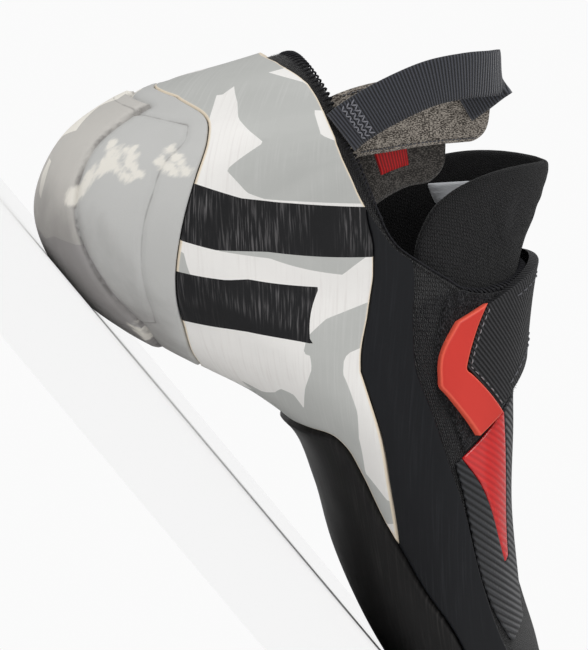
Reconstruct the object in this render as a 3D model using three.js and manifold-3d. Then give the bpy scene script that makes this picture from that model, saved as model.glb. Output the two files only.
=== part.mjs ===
// A single climbing shoe, right foot, with a down-turned toe, a moulded heel and one hook-and-loop strap.
// Millimetres. +X to the toe, +Y to the inner side of the foot, +Z up.
// The origin is where the heel rests on the floor.
import * as THREE from "three";
import { mergeVertices } from "three/addons/utils/BufferGeometryUtils.js";
import Module from "manifold-3d";

const wasm = await Module();
wasm.setup();

// Driving sizes of the last
const LENGTH = 246; // heel to toe, over the upper
const BALL_WIDTH = 88; // across the ball, over the upper
const HEEL_WIDTH = 56; // across the heel, over the upper
const TONGUE_HEIGHT = 119; // floor to the top of the last at the shin

// Thicknesses
const GAP = 0.3; // air left between pieces that are glued or pressed together
const UPPER_WALL = 2;
const TONGUE_WALL = 2.4;
const INSOLE_WALL = 1.6;
const RAND_WALL = 2;
const CUP_WALL = 2.3;
const PAD_RISE = 0.8; // how far the heel's moulded pad stands over the cup
const OUTSOLE_WALL = 3.6;
const PATCH_WALL = 0.9; // woven and welded overlays on the upper
const KNIT_EDGE = 2.6; // knit left showing between the rubber and the collar
const STRAP_WALL = 1.8;
const TIP_WALL = 2.6;

const REST_X = 0.125 * LENGTH; // heel's resting spot, from the back of the last

// Sections of the last, from the toe back and up round the heel. Each is a ring from a low to a high point.
// lowX, highX and shift are shares of LENGTH; lowZ and highZ of TONGUE_HEIGHT.
// Half widths, outer side and inner side, add a share of BALL_WIDTH to a share of HEEL_WIDTH.
// outLevel and inLevel tell how far up the ring each side is widest; low and top tell how full it is.
const SECTIONS = [
  { lowX: 1.0, lowZ: 0.12, highX: 1.0, highZ: 0.12, outBall: 0, outHeel: 0, inBall: 0, inHeel: 0, shift: 0.065, outLevel: 0.4, inLevel: 0.4, low: 2.2, top: 2.0 },
  { lowX: 0.9955, lowZ: 0.084, highX: 0.9965, highZ: 0.162, outBall: 0.09, outHeel: 0, inBall: 0.09, inHeel: 0, shift: 0.064, outLevel: 0.4, inLevel: 0.4, low: 2.3, top: 2.0 },
  { lowX: 0.98, lowZ: 0.052, highX: 0.984, highZ: 0.212, outBall: 0.19, outHeel: 0, inBall: 0.18, inHeel: 0, shift: 0.06, outLevel: 0.4, inLevel: 0.4, low: 2.4, top: 2.1 },
  { lowX: 0.935, lowZ: 0.026, highX: 0.935, highZ: 0.277, outBall: 0.315, outHeel: 0, inBall: 0.29, inHeel: 0, shift: 0.05, outLevel: 0.38, inLevel: 0.4, low: 2.7, top: 2.2 },
  { lowX: 0.862, lowZ: 0.0255, highX: 0.85, highZ: 0.34, outBall: 0.42, outHeel: 0, inBall: 0.395, inHeel: 0, shift: 0.034, outLevel: 0.35, inLevel: 0.38, low: 2.9, top: 2.2 },
  { lowX: 0.765, lowZ: 0.048, highX: 0.75, highZ: 0.405, outBall: 0.485, outHeel: 0, inBall: 0.465, inHeel: 0, shift: 0.018, outLevel: 0.34, inLevel: 0.38, low: 2.9, top: 2.1 },
  { lowX: 0.658, lowZ: 0.098, highX: 0.647, highZ: 0.52, outBall: 0.51, outHeel: 0, inBall: 0.49, inHeel: 0, shift: 0.008, outLevel: 0.33, inLevel: 0.38, low: 2.7, top: 2.0 },
  { lowX: 0.553, lowZ: 0.168, highX: 0.564, highZ: 0.672, outBall: 0.4, outHeel: 0.115, inBall: 0.36, inHeel: 0.115, shift: 0, outLevel: 0.32, inLevel: 0.4, low: 2.5, top: 1.9 },
  { lowX: 0.456, lowZ: 0.214, highX: 0.502, highZ: 0.792, outBall: 0.26, outHeel: 0.24, inBall: 0.2, inHeel: 0.25, shift: -0.004, outLevel: 0.3, inLevel: 0.42, low: 2.4, top: 1.9 },
  { lowX: 0.366, lowZ: 0.184, highX: 0.463, highZ: 0.885, outBall: 0.12, outHeel: 0.375, inBall: 0.07, inHeel: 0.39, shift: -0.004, outLevel: 0.28, inLevel: 0.38, low: 2.4, top: 1.9 },
  { lowX: 0.281, lowZ: 0.114, highX: 0.444, highZ: 0.952, outBall: 0.03, outHeel: 0.48, inBall: 0.01, inHeel: 0.475, shift: 0, outLevel: 0.27, inLevel: 0.3, low: 2.4, top: 1.9 },
  { lowX: 0.203, lowZ: 0.049, highX: 0.433, highZ: 0.998, outBall: 0, outHeel: 0.5, inBall: 0, inHeel: 0.5, shift: 0, outLevel: 0.26, inLevel: 0.26, low: 2.2, top: 1.9 },
  { lowX: 0.126, lowZ: 0.02, highX: 0.423, highZ: 1.03, outBall: 0, outHeel: 0.5, inBall: 0, inHeel: 0.5, shift: 0, outLevel: 0.25, inLevel: 0.25, low: 2.1, top: 1.9 },
  { lowX: 0.052, lowZ: 0.062, highX: 0.413, highZ: 1.054, outBall: 0, outHeel: 0.5, inBall: 0, inHeel: 0.5, shift: 0, outLevel: 0.27, inLevel: 0.27, low: 2.0, top: 1.9 },
  { lowX: 0.014, lowZ: 0.184, highX: 0.404, highZ: 1.074, outBall: 0, outHeel: 0.492, inBall: 0, inHeel: 0.492, shift: 0, outLevel: 0.32, inLevel: 0.32, low: 2.0, top: 1.9 },
  { lowX: 0.013, lowZ: 0.319, highX: 0.395, highZ: 1.091, outBall: 0, outHeel: 0.468, inBall: 0, inHeel: 0.468, shift: 0, outLevel: 0.38, inLevel: 0.38, low: 2, top: 1.9 },
  { lowX: 0.033, lowZ: 0.454, highX: 0.386, highZ: 1.107, outBall: 0, outHeel: 0.436, inBall: 0, inHeel: 0.436, shift: 0, outLevel: 0.42, inLevel: 0.42, low: 2, top: 1.9 },
  { lowX: 0.062, lowZ: 0.588, highX: 0.377, highZ: 1.122, outBall: 0, outHeel: 0.411, inBall: 0, inHeel: 0.411, shift: 0, outLevel: 0.44, inLevel: 0.44, low: 2, top: 1.9 },
  { lowX: 0.09, lowZ: 0.723, highX: 0.368, highZ: 1.136, outBall: 0, outHeel: 0.395, inBall: 0, inHeel: 0.395, shift: 0, outLevel: 0.45, inLevel: 0.45, low: 2, top: 1.9 },
];
const LAST = SECTIONS.length - 1;

// One column of a table at a place between its rows, smooth through them and straight past the end.
function smooth(rows, key, place) {
  const end = rows.length - 1;
  if (place >= end) return rows[end][key] + (rows[end][key] - rows[end - 1][key]) * (place - end);
  const i = Math.max(0, Math.floor(place));
  const t = place - i;
  const before = i > 0 ? rows[i - 1][key] : 2 * rows[0][key] - rows[1][key];
  const from = rows[i][key];
  const to = rows[i + 1][key];
  const after = i + 2 <= end ? rows[i + 2][key] : 2 * to - from;
  const bend = 2 * before - 5 * from + 4 * to - after;
  const twist = 3 * (from - to) + after - before;
  return from + 0.5 * t * (to - before + t * (bend + t * twist));
}

// A side of a ring as points from its low point, past its widest, to its high point.
const HALF_STEPS = 40;
function halfRing(width, level, low, top) {
  const points = [];
  for (let k = 0; k <= 2 * HALF_STEPS; k++) {
    const angle = (Math.PI / 2) * (k / HALF_STEPS);
    const full = k <= HALF_STEPS ? low : top;
    const out = Math.pow(Math.abs(Math.sin(angle)), 2 / full);
    const along = Math.pow(Math.abs(Math.cos(angle)), 2 / full);
    const rise = k <= HALF_STEPS ? level * (1 - along) : level + (1 - level) * along;
    points.push([width * out, rise]);
  }
  return points;
}

// Share of the length along a chain of points.
function alongChain(points, from, to, share) {
  const lengths = [0];
  for (let k = from + 1; k <= to; k++) {
    const step = Math.hypot(points[k][0] - points[k - 1][0], points[k][1] - points[k - 1][1]);
    lengths.push(lengths[lengths.length - 1] + step);
  }
  const wanted = share * lengths[lengths.length - 1];
  let k = 1;
  while (k < lengths.length - 1 && lengths[k] < wanted) k++;
  const t = (wanted - lengths[k - 1]) / (lengths[k] - lengths[k - 1] || 1);
  const a = points[from + k - 1];
  const b = points[from + k];
  return [a[0] + (b[0] - a[0]) * t, a[1] + (b[1] - a[1]) * t];
}

// A point of the last. place runs along SECTIONS. turn is 0 at the ring's low point, 0.5 where it is widest
// and 1 at its high point; below nought it is on the outer side of the foot.
function onLast(place, turn) {
  let q = turn;
  while (q > 1) q -= 2;
  while (q < -1) q += 2;
  const at = (key) => smooth(SECTIONS, key, place);
  const low = new THREE.Vector3(at("lowX") * LENGTH - REST_X, at("shift") * LENGTH, at("lowZ") * TONGUE_HEIGHT);
  const high = new THREE.Vector3(at("highX") * LENGTH - REST_X, at("shift") * LENGTH, at("highZ") * TONGUE_HEIGHT);
  const side = q < 0 ? "out" : "in";
  const width = Math.max(0, at(side + "Ball") * BALL_WIDTH + at(side + "Heel") * HEEL_WIDTH);
  const tall = low.distanceTo(high);
  const half = halfRing(width, at(side + "Level"), at("low"), at("top")).map(([y, rise]) => [y, rise * tall]);
  const share = Math.abs(q);
  const [y, rise] = share <= 0.5
    ? alongChain(half, 0, HALF_STEPS, share * 2)
    : alongChain(half, HALF_STEPS, 2 * HALF_STEPS, share * 2 - 1);
  const point = low.clone().lerp(high, tall > 0 ? rise / tall : 0);
  point.y += q < 0 ? -y : y;
  return point;
}

// The same point moved out from the last by depth.
const kept = new Map();
function offLast(place, turn, depth) {
  const key = place.toFixed(5) + "/" + turn.toFixed(5);
  if (!kept.has(key)) {
    const point = onLast(place, turn);
    let normal = new THREE.Vector3(1, 0, 0);
    if (place > 0.01) {
      const step = Math.min(0.05, place / 2);
      const alongFoot = onLast(place + step, turn).sub(onLast(place - step, turn));
      const around = onLast(place, turn + 0.02).sub(onLast(place, turn - 0.02));
      normal = alongFoot.cross(around).normalize();
    }
    kept.set(key, { point, normal });
  }
  const { point, normal } = kept.get(key);
  return point.clone().addScaledVector(normal, depth);
}

const ring = (count) => Array.from({ length: count }, (_, j) => -1 + (2 * j) / count);
const AROUND = ring(22);

function toManifold(points, faces) {
  const vertProperties = new Float32Array(points.flatMap((p) => [p.x, p.y, p.z]));
  const mesh = new wasm.Mesh({ numProp: 3, vertProperties, triVerts: new Uint32Array(faces) });
  mesh.merge();
  return new wasm.Manifold(mesh);
}

// The last grown by depth, a closed form. A deep inner form starts at a ring rather than at the toe's tip.
function form(depth) {
  const rings = [];
  const start = depth < -UPPER_WALL - 0.01 ? 1.75 : 0;
  const end = depth < 0 ? LAST + 0.6 : LAST;
  for (const place of [0.35, 0.7, 1, 1.5, 2, 2.5]) {
    if (place > start) rings.push(place);
  }
  for (let place = 3; place < LAST - 0.3; place += 0.6) rings.push(place);
  rings.push(end);
  const points = [start > 0 ? offLast(start, 0, depth).lerp(offLast(start, 1, depth), 0.5) : offLast(0, 0, depth)];
  if (start > 0) rings.unshift(start);
  for (const place of rings) {
    for (const turn of AROUND) points.push(offLast(place, turn, depth));
  }
  const count = AROUND.length;
  const faces = [];
  const at = (r, j) => 1 + r * count + (((j % count) + count) % count);
  for (let j = 0; j < count; j++) faces.push(0, at(0, j), at(0, j + 1));
  for (let r = 0; r < rings.length - 1; r++) {
    for (let j = 0; j < count; j++) {
      faces.push(at(r, j), at(r + 1, j), at(r + 1, j + 1), at(r, j), at(r + 1, j + 1), at(r, j + 1));
    }
  }
  const last = rings.length - 1;
  const centre = points.length;
  points.push(offLast(end, 0, depth).lerp(offLast(end, 1, depth), 0.5));
  for (let j = 0; j < count; j++) faces.push(at(last, j), centre, at(last, j + 1));
  return toManifold(points, faces);
}

const group = new THREE.Group();
group.name = "climbing_shoe";

function toMesh(name, solid, colour, roughness) {
  const mesh = solid.getMesh();
  let geometry = new THREE.BufferGeometry();
  const positions = [];
  for (let v = 0; v < mesh.numVert; v++) {
    for (let c = 0; c < 3; c++) positions.push(mesh.vertProperties[v * mesh.numProp + c]);
  }
  geometry.setAttribute("position", new THREE.Float32BufferAttribute(positions, 3));
  geometry.setIndex(Array.from(mesh.triVerts));
  geometry = mergeVertices(geometry, 1e-4);
  const out = new THREE.Mesh(geometry, new THREE.MeshStandardMaterial({ color: colour, roughness, metalness: 0 }));
  out.name = name;
  group.add(out);
}

// Share of the way between two numbers.
const between = (a, b, t) => a + (b - a) * t;

// A panel of the last's surface, as a solid that reaches from well inside to well outside it.
// Each row says at which place it lies and between which turns; the curves run smooth through the rows.
// grow moves the panel's edge outwards, in millimetres along the surface.
function panel(rows, { grow = 0, inner = -1.2, outer = 8, per = 2, across = 8 } = {}) {
  const steps = (rows.length - 1) * per;
  const edge = [];
  for (let k = 0; k <= steps; k++) edge.push([smooth(rows, "place", k / per), smooth(rows, "from", k / per)]);
  for (let k = steps; k >= 0; k--) edge.push([smooth(rows, "place", k / per), smooth(rows, "to", k / per)]);
  const moved = edge.map(([place, turn], k) => {
    if (grow === 0) return [place, turn];
    const before = edge[(k + edge.length - 1) % edge.length];
    const after = edge[(k + 1) % edge.length];
    const here = offLast(place, turn, 0);
    const normal = offLast(place, turn, 1).sub(here);
    const along = offLast(after[0], after[1], 0).sub(offLast(before[0], before[1], 0)).normalize();
    const out = normal.clone().cross(along).normalize().multiplyScalar(grow * panelSense(rows));
    const perPlace = offLast(place + 0.05, turn, 0).sub(offLast(Math.max(0.01, place - 0.05), turn, 0));
    perPlace.divideScalar(place + 0.05 - Math.max(0.01, place - 0.05));
    const perTurn = offLast(place, turn + 0.02, 0).sub(offLast(place, turn - 0.02, 0)).divideScalar(0.04);
    const a = perPlace.dot(perPlace);
    const b = perPlace.dot(perTurn);
    const c = perTurn.dot(perTurn);
    const u = perPlace.dot(out);
    const v = perTurn.dot(out);
    const det = a * c - b * b;
    return [Math.max(0.02, place + (u * c - v * b) / det), turn + (v * a - u * b) / det];
  });
  const columns = [];
  for (let k = 0; k <= steps; k++) {
    const left = moved[k];
    const right = moved[moved.length - 1 - k];
    const row = [];
    for (let j = 0; j <= across; j++) {
      row.push([between(left[0], right[0], j / across), between(left[1], right[1], j / across)]);
    }
    columns.push(row);
  }
  return slab(columns, inner, outer);
}

// Which way round the edge of a panel runs.
function panelSense(rows) {
  const first = rows[0];
  const end = rows[rows.length - 1];
  const wide = rows.reduce((sum, row) => sum + row.to - row.from, 0);
  return (end.place - first.place) * wide > 0 ? -1 : 1;
}

// A closed solid over a grid of places on the last, between two depths.
function slab(grid, inner, outer) {
  const nr = grid.length;
  const nc = grid[0].length;
  const points = [];
  for (const depth of [outer, inner]) {
    for (const row of grid) for (const [place, turn] of row) points.push(offLast(place, turn, depth));
  }
  const top = (r, c) => r * nc + c;
  const under = (r, c) => nr * nc + r * nc + c;
  const faces = [];
  const quad = (a, b, c, d) => faces.push(a, b, c, a, c, d);
  for (let r = 0; r < nr - 1; r++) {
    for (let c = 0; c < nc - 1; c++) {
      quad(top(r, c), top(r + 1, c), top(r + 1, c + 1), top(r, c + 1));
      quad(under(r, c), under(r, c + 1), under(r + 1, c + 1), under(r + 1, c));
    }
  }
  for (let r = 0; r < nr - 1; r++) {
    quad(top(r, 0), under(r, 0), under(r + 1, 0), top(r + 1, 0));
    quad(top(r, nc - 1), top(r + 1, nc - 1), under(r + 1, nc - 1), under(r, nc - 1));
  }
  for (let c = 0; c < nc - 1; c++) {
    quad(top(0, c), top(0, c + 1), under(0, c + 1), under(0, c));
    quad(top(nr - 1, c), under(nr - 1, c), under(nr - 1, c + 1), top(nr - 1, c + 1));
  }
  const solid = toManifold(points, faces);
  if (solid.volume() < 0) throw new Error("a panel is inside out");
  return solid;
}

// A layer of the last between two depths.
const forms = new Map();
function formAt(depth) {
  const key = depth.toFixed(3);
  if (!forms.has(key)) forms.set(key, form(depth));
  return forms.get(key);
}
const layer = (inner, outer) => formAt(outer).subtract(formAt(inner));

// A wall through the whole shoe, over a shape drawn from the side; x from the heel's rest, z from the floor.
function fromSide(points) {
  const shape = new THREE.Shape(points.map(([x, z]) => new THREE.Vector2(x, z)));
  const geometry = new THREE.ExtrudeGeometry(shape, { depth: 300, bevelEnabled: false, curveSegments: 1 });
  geometry.rotateX(Math.PI / 2);
  geometry.translate(0, 150, 0);
  return fromGeometry(geometry);
}

function fromGeometry(geometry) {
  const whole = mergeVertices(new THREE.BufferGeometry().setAttribute("position", geometry.attributes.position)
    .setIndex(geometry.index ?? [...Array(geometry.attributes.position.count).keys()]), 1e-4);
  const points = [];
  const position = whole.attributes.position;
  for (let v = 0; v < position.count; v++) points.push(new THREE.Vector3().fromBufferAttribute(position, v));
  return toManifold(points, Array.from(whole.index.array));
}

// Panels of the surface. place counts SECTIONS from the toe; turns below nought are on the outer side.
const both = (rows) => rows.map(({ place, edge }) => ({ place, from: -edge, to: edge }));
const overTop = (rows) => rows.map(({ place, edge }) => ({ place, from: -2 + edge, to: -edge }));

const SOLE_PANEL = [
  { place: 0.55, from: -0.33, to: 0.33 },
  { place: 0.75, from: -0.39, to: 0.39 },
  { place: 1, from: -0.42, to: 0.42 },
  { place: 2, from: -0.45, to: 0.45 },
  { place: 3, from: -0.46, to: 0.46 },
  { place: 4, from: -0.46, to: 0.46 },
  { place: 5, from: -0.46, to: 0.45 },
  { place: 5.8, from: -0.44, to: 0.42 },
  { place: 6.5, from: -0.38, to: 0.37 },
  { place: 7.1, from: -0.325, to: 0.34 },
  { place: 7.7, from: -0.3, to: 0.27 },
  { place: 8.1, from: -0.295, to: 0.16 },
  { place: 8.35, from: -0.27, to: 0.04 },
  { place: 8.45, from: -0.18, to: -0.08 },
];
const CUP_PANEL = both([
  { place: 9.8, edge: 0.03 },
  { place: 10.05, edge: 0.14 },
  { place: 10.6, edge: 0.225 },
  { place: 11.3, edge: 0.305 },
  { place: 12.1, edge: 0.375 },
  { place: 13.0, edge: 0.41 },
  { place: 14.0, edge: 0.355 },
  { place: 14.9, edge: 0.27 },
  { place: 15.5, edge: 0.19 },
  { place: 15.8, edge: 0.08 },
]);
const CENTRE_PAD = both([
  { place: 10.35, edge: 0.03 },
  { place: 10.8, edge: 0.13 },
  { place: 11.4, edge: 0.19 },
  { place: 12.0, edge: 0.19 },
  { place: 12.8, edge: 0.165 },
  { place: 13.6, edge: 0.12 },
  { place: 14.4, edge: 0.09 },
  { place: 15.4, edge: 0.075 },
]);
const BAND_PANEL = both([
  { place: 6.6, edge: 0.345 },
  { place: 7.1, edge: 0.365 },
  { place: 7.7, edge: 0.388 },
  { place: 8.5, edge: 0.44 },
  { place: 9.3, edge: 0.515 },
  { place: 10.2, edge: 0.6 },
  { place: 11.3, edge: 0.665 },
  { place: 12.4, edge: 0.69 },
  { place: 13.7, edge: 0.66 },
  { place: 15.0, edge: 0.575 },
  { place: 16.1, edge: 0.45 },
  { place: 16.8, edge: 0.33 },
  { place: 17.4, edge: 0.18 },
  { place: 17.6, edge: 0.07 },
]);
// What the rand leaves open above it
const OPEN_PANEL = overTop([
  { place: 2.55, edge: 0.97 },
  { place: 2.75, edge: 0.82 },
  { place: 3.3, edge: 0.68 },
  { place: 4.2, edge: 0.6 },
  { place: 5.2, edge: 0.56 },
  { place: 6.6, edge: 0.545 },
  { place: 7.6, edge: 0.54 },
  { place: 8.6, edge: 0.57 },
  { place: 9.5, edge: 0.635 },
  { place: 10.6, edge: 0.7 },
  { place: 11.8, edge: 0.73 },
  { place: 13.2, edge: 0.725 },
  { place: 15, edge: 0.62 },
  { place: 18, edge: 0.02 },
]);
const OPENING_PANEL = both([
  { place: 1.9, edge: 0.2 },
  { place: 2.5, edge: 0.27 },
  { place: 4, edge: 0.29 },
  { place: 5.5, edge: 0.27 },
  { place: 6.6, edge: 0.2 },
  { place: 7.2, edge: 0.1 },
]);
const INSOLE_PANEL = both([
  { place: 1.85, edge: 0.2 },
  { place: 2.5, edge: 0.31 },
  { place: 4, edge: 0.34 },
  { place: 6, edge: 0.32 },
  { place: 8, edge: 0.26 },
  { place: 10, edge: 0.24 },
  { place: 11.6, edge: 0.27 },
  { place: 12.6, edge: 0.24 },
  { place: 13.2, edge: 0.1 },
]);
const TONGUE_PANEL = overTop([
  { place: 6.9, edge: 0.92 },
  { place: 7.2, edge: 0.8 },
  { place: 8, edge: 0.74 },
  { place: 9, edge: 0.7 },
  { place: 10, edge: 0.7 },
  { place: 11, edge: 0.73 },
  { place: 12, edge: 0.765 },
  { place: 12.8, edge: 0.79 },
  { place: 13.5, edge: 0.82 },
  { place: 14.1, edge: 0.86 },
  { place: 14.45, edge: 0.91 },
  { place: 14.6, edge: 0.97 },
]);
const LOOP_PANEL = [
  { place: 7.35, from: -1.28, to: -0.585 },
  { place: 8, from: -1.31, to: -0.588 },
  { place: 8.6, from: -1.31, to: -0.615 },
  { place: 9.3, from: -1.25, to: -0.68 },
  { place: 9.75, from: -1.1, to: -0.72 },
];
const STRAP_PANEL = [
  { place: 7.5, from: -1.35, to: -0.66 },
  { place: 7.9, from: -1.36, to: -0.625 },
  { place: 8.35, from: -1.36, to: -0.62 },
  { place: 8.8, from: -1.35, to: -0.66 },
  { place: 9.1, from: -1.32, to: -0.72 },
];
const STRAP_TIP_PANEL = [
  { place: 7.42, from: -0.7, to: -0.62 },
  { place: 7.9, from: -0.67, to: -0.598 },
  { place: 8.4, from: -0.67, to: -0.594 },
  { place: 8.8, from: -0.71, to: -0.63 },
  { place: 9.14, from: -0.77, to: -0.7 },
];
const RED_PANEL = [
  { place: 5.75, from: -0.67, to: -0.65 },
  { place: 6.3, from: -0.7, to: -0.635 },
  { place: 6.8, from: -0.715, to: -0.61 },
  { place: 7.3, from: -0.73, to: -0.575 },
];
const RIB_PANEL = [
  { place: 4.9, from: -0.68, to: -0.6 },
  { place: 5.6, from: -0.74, to: -0.565 },
  { place: 6.4, from: -0.77, to: -0.555 },
  { place: 7.3, from: -0.79, to: -0.555 },
];

// The collar's line seen from the side, from the back of the heel to over the instep
const COLLAR_LINE = [
  [-60, 92], [-30, 89], [-12, 87], [0, 84.5], [14, 79.5], [28, 76.5], [42, 75.5], [56, 76.5], [66, 79.5],
  [74, 86], [80, 94], [87, 105], [98, 118], [98, 170], [-60, 170],
];

const collarCut = fromSide(COLLAR_LINE);
const rubberCut = fromSide(COLLAR_LINE.map(([x, z]) => [x, z - KNIT_EDGE]));
const floorCut = fromSide([[-90, -30], [300, -30], [300, 0], [-90, 0]]);
// The largest body of a cut, without the crumbs left at its corners.
const whole = (solid) => solid.decompose().sort((a, b) => b.volume() - a.volume())[0];

const sole = panel(SOLE_PANEL, { across: 12 });
const soleRoom = panel(SOLE_PANEL, { across: 12, grow: GAP });
const cup = panel(CUP_PANEL, { across: 12 });
const cupRoom = panel(CUP_PANEL, { across: 12, grow: GAP });
const band = panel(BAND_PANEL, { across: 18 });
const bandRoom = panel(BAND_PANEL, { across: 18, grow: GAP });
const open = panel(OPEN_PANEL, { across: 12 });

const upper = layer(-UPPER_WALL, 0).subtract(collarCut).subtract(panel(OPENING_PANEL, { inner: -4 }));
const insole = layer(-UPPER_WALL - GAP - INSOLE_WALL, -UPPER_WALL - GAP).intersect(panel(INSOLE_PANEL, { inner: -6 }));
const tongue = layer(-UPPER_WALL - GAP - TONGUE_WALL, -UPPER_WALL - GAP)
  .intersect(panel(TONGUE_PANEL, { inner: -7, across: 12 }));
const outsole = layer(GAP, GAP + OUTSOLE_WALL).intersect(sole).subtract(floorCut);
const heelCup = layer(GAP, GAP + CUP_WALL).intersect(cup)
  .add(layer(GAP, GAP + CUP_WALL + PAD_RISE).intersect(panel(CENTRE_PAD)))
  .subtract(floorCut);
const skin = layer(GAP, GAP + RAND_WALL).subtract(soleRoom).subtract(rubberCut);
const heelBand = skin.intersect(band).subtract(cupRoom);
const sideRand = skin.subtract(bandRoom).subtract(open);
const patch = layer(GAP, GAP + PATCH_WALL);
const loopPatch = patch.intersect(panel(LOOP_PANEL)).subtract(collarCut);
const loopRoom = panel(LOOP_PANEL, { grow: GAP });
const redPanel = patch.intersect(panel(RED_PANEL)).subtract(loopRoom);
const ribPanel = patch.intersect(panel(RIB_PANEL)).subtract(loopRoom).subtract(panel(RED_PANEL, { grow: GAP }));
const strapFloor = GAP + PATCH_WALL + GAP;
const tipPanel = panel(STRAP_TIP_PANEL, { outer: 9 });
const strapTip = layer(strapFloor, strapFloor + TIP_WALL).intersect(tipPanel);
const strap = layer(strapFloor, strapFloor + STRAP_WALL).intersect(panel(STRAP_PANEL))
  .subtract(panel(STRAP_TIP_PANEL, { outer: 9, grow: GAP }));

// A band of webbing or felt: rows give its middle line and which way its width lies.
// The rows are in mm for a last 246 long, 56 across the heel and 119 high, and follow those three sizes.
function strip(rows, width, thick, per = 2) {
  const steps = (rows.length - 1) * per;
  const read = (k, keys) => new THREE.Vector3(...keys.map((key) => smooth(rows, key, k / per)));
  const drawnAt = new THREE.Vector3(LENGTH / 246, HEEL_WIDTH / 56, TONGUE_HEIGHT / 119);
  const middle = Array.from({ length: steps + 1 }, (_, k) => read(k, ["x", "y", "z"]).multiply(drawnAt));
  const points = [];
  middle.forEach((point, k) => {
    const along = middle[Math.min(k + 1, steps)].clone().sub(middle[Math.max(k - 1, 0)]).normalize();
    const wide = read(k, ["wx", "wy", "wz"]);
    wide.addScaledVector(along, -wide.dot(along)).normalize();
    const up = along.clone().cross(wide).normalize();
    const half = (width * smooth(rows, "share", k / per)) / 2;
    for (const [a, b] of [[-1, -1], [1, -1], [1, 1], [-1, 1]]) {
      points.push(point.clone().addScaledVector(wide, a * half).addScaledVector(up, (b * thick) / 2));
    }
  });
  const faces = [];
  for (let k = 0; k < steps; k++) {
    for (let c = 0; c < 4; c++) {
      const a = 4 * k + c;
      const b = 4 * k + ((c + 1) % 4);
      faces.push(a, b, b + 4, a, b + 4, a + 4);
    }
  }
  const e = 4 * steps;
  faces.push(0, 3, 2, 0, 2, 1, e, e + 1, e + 2, e, e + 2, e + 3);
  const solid = toManifold(points, faces);
  if (solid.volume() > 0) return solid;
  const turned = [];
  for (let f = 0; f < faces.length; f += 3) turned.push(faces[f], faces[f + 2], faces[f + 1]);
  return toManifold(points, turned);
}

const WEBBING_WIDTH = 12.5;
const WEBBING_WALL = 1.2;
const TAB_WIDTH = 21;
const TAB_WALL = 1.6;
const LOOP_LINE = [
  { x: 9, y: -25.5, z: 81.4, wx: 1, wy: -0.2, wz: -0.05, share: 1 },
  { x: 9.1, y: -25.8, z: 87, wx: 1, wy: -0.13, wz: -0.1, share: 1 },
  { x: 10, y: -28.5, z: 97, wx: 1, wy: -0.1, wz: -0.25, share: 1 },
  { x: 13, y: -29.5, z: 108, wx: 1, wy: -0.05, wz: -0.4, share: 1 },
  { x: 18, y: -29, z: 118, wx: 0.9, wy: 0, wz: -0.5, share: 1 },
  { x: 24, y: -26, z: 124.5, wx: 0.85, wy: 0.1, wz: -0.5, share: 1 },
  { x: 28.5, y: -22, z: 125, wx: 0.85, wy: 0.1, wz: -0.5, share: 1 },
  { x: 29.5, y: -20.2, z: 119.5, wx: 0.85, wy: 0.05, wz: -0.5, share: 1 },
  { x: 27.5, y: -20.3, z: 112, wx: 0.85, wy: 0, wz: -0.5, share: 1 },
];
const TAB_LINE = [
  { x: 10, y: -20, z: 76, wx: 1, wy: -0.28, wz: 0, share: 0.86 },
  { x: 11, y: -18.6, z: 84, wx: 1, wy: -0.28, wz: 0, share: 0.86 },
  { x: 16, y: -18.4, z: 94, wx: 1, wy: -0.15, wz: -0.3, share: 0.92 },
  { x: 23, y: -18.2, z: 104, wx: 1, wy: 0, wz: -0.5, share: 0.86 },
  { x: 30, y: -18, z: 113, wx: 0.9, wy: 0, wz: -0.6, share: 0.7 },
  { x: 35, y: -18, z: 118.5, wx: 0.85, wy: 0, wz: -0.6, share: 0.35 },
];
const LINING_LINE = [
  { x: 24, y: -19.4, z: 73, wx: 1, wy: -0.05, wz: 0, share: 0.9 },
  { x: 25.5, y: -17.6, z: 82, wx: 1, wy: -0.05, wz: -0.2, share: 0.9 },
  { x: 29, y: -16, z: 91, wx: 1, wy: 0, wz: -0.4, share: 0.84 },
  { x: 33, y: -15.6, z: 98, wx: 0.9, wy: 0, wz: -0.6, share: 0.66 },
  { x: 36.5, y: -15.6, z: 102.5, wx: 0.85, wy: 0, wz: -0.6, share: 0.35 },
];
toMesh("pull_loop", strip(LOOP_LINE, WEBBING_WIDTH, WEBBING_WALL), 0x232528, 0.8);
toMesh("heel_tab", strip(TAB_LINE, TAB_WIDTH, TAB_WALL), 0x6e6962, 1);
toMesh("lining_tab", strip(LINING_LINE, TAB_WIDTH, TAB_WALL), 0x4a4744, 1);

toMesh("upper", whole(upper), 0x1c1d20, 0.9);
toMesh("insole", whole(insole), 0x3a3b3f, 0.9);
toMesh("tongue", whole(tongue), 0x1a1b1d, 0.9);
toMesh("outsole", whole(outsole), 0x1d1b1b, 0.6);
toMesh("heel_cup", whole(heelCup), 0xaaacad, 0.7);
toMesh("heel_band", whole(heelBand), 0xdcdad6, 0.7);
toMesh("side_rand", whole(sideRand), 0x242629, 0.6);
toMesh("loop_patch", whole(loopPatch), 0x17181a, 1);
toMesh("red_overlay", whole(redPanel), 0xb4191e, 0.3);
toMesh("ribbed_overlay", whole(ribPanel), 0x202124, 0.7);
toMesh("strap", whole(strap), 0x28292c, 0.7);
toMesh("strap_tip", whole(strapTip), 0xc3372d, 0.5);

export default group;
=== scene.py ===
# Looks for a climbing shoe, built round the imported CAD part. Sizes in millimetres unless said otherwise.
import math

import bmesh
import bpy
import numpy as np
from mathutils import Matrix, Vector, geometry, kdtree


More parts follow.
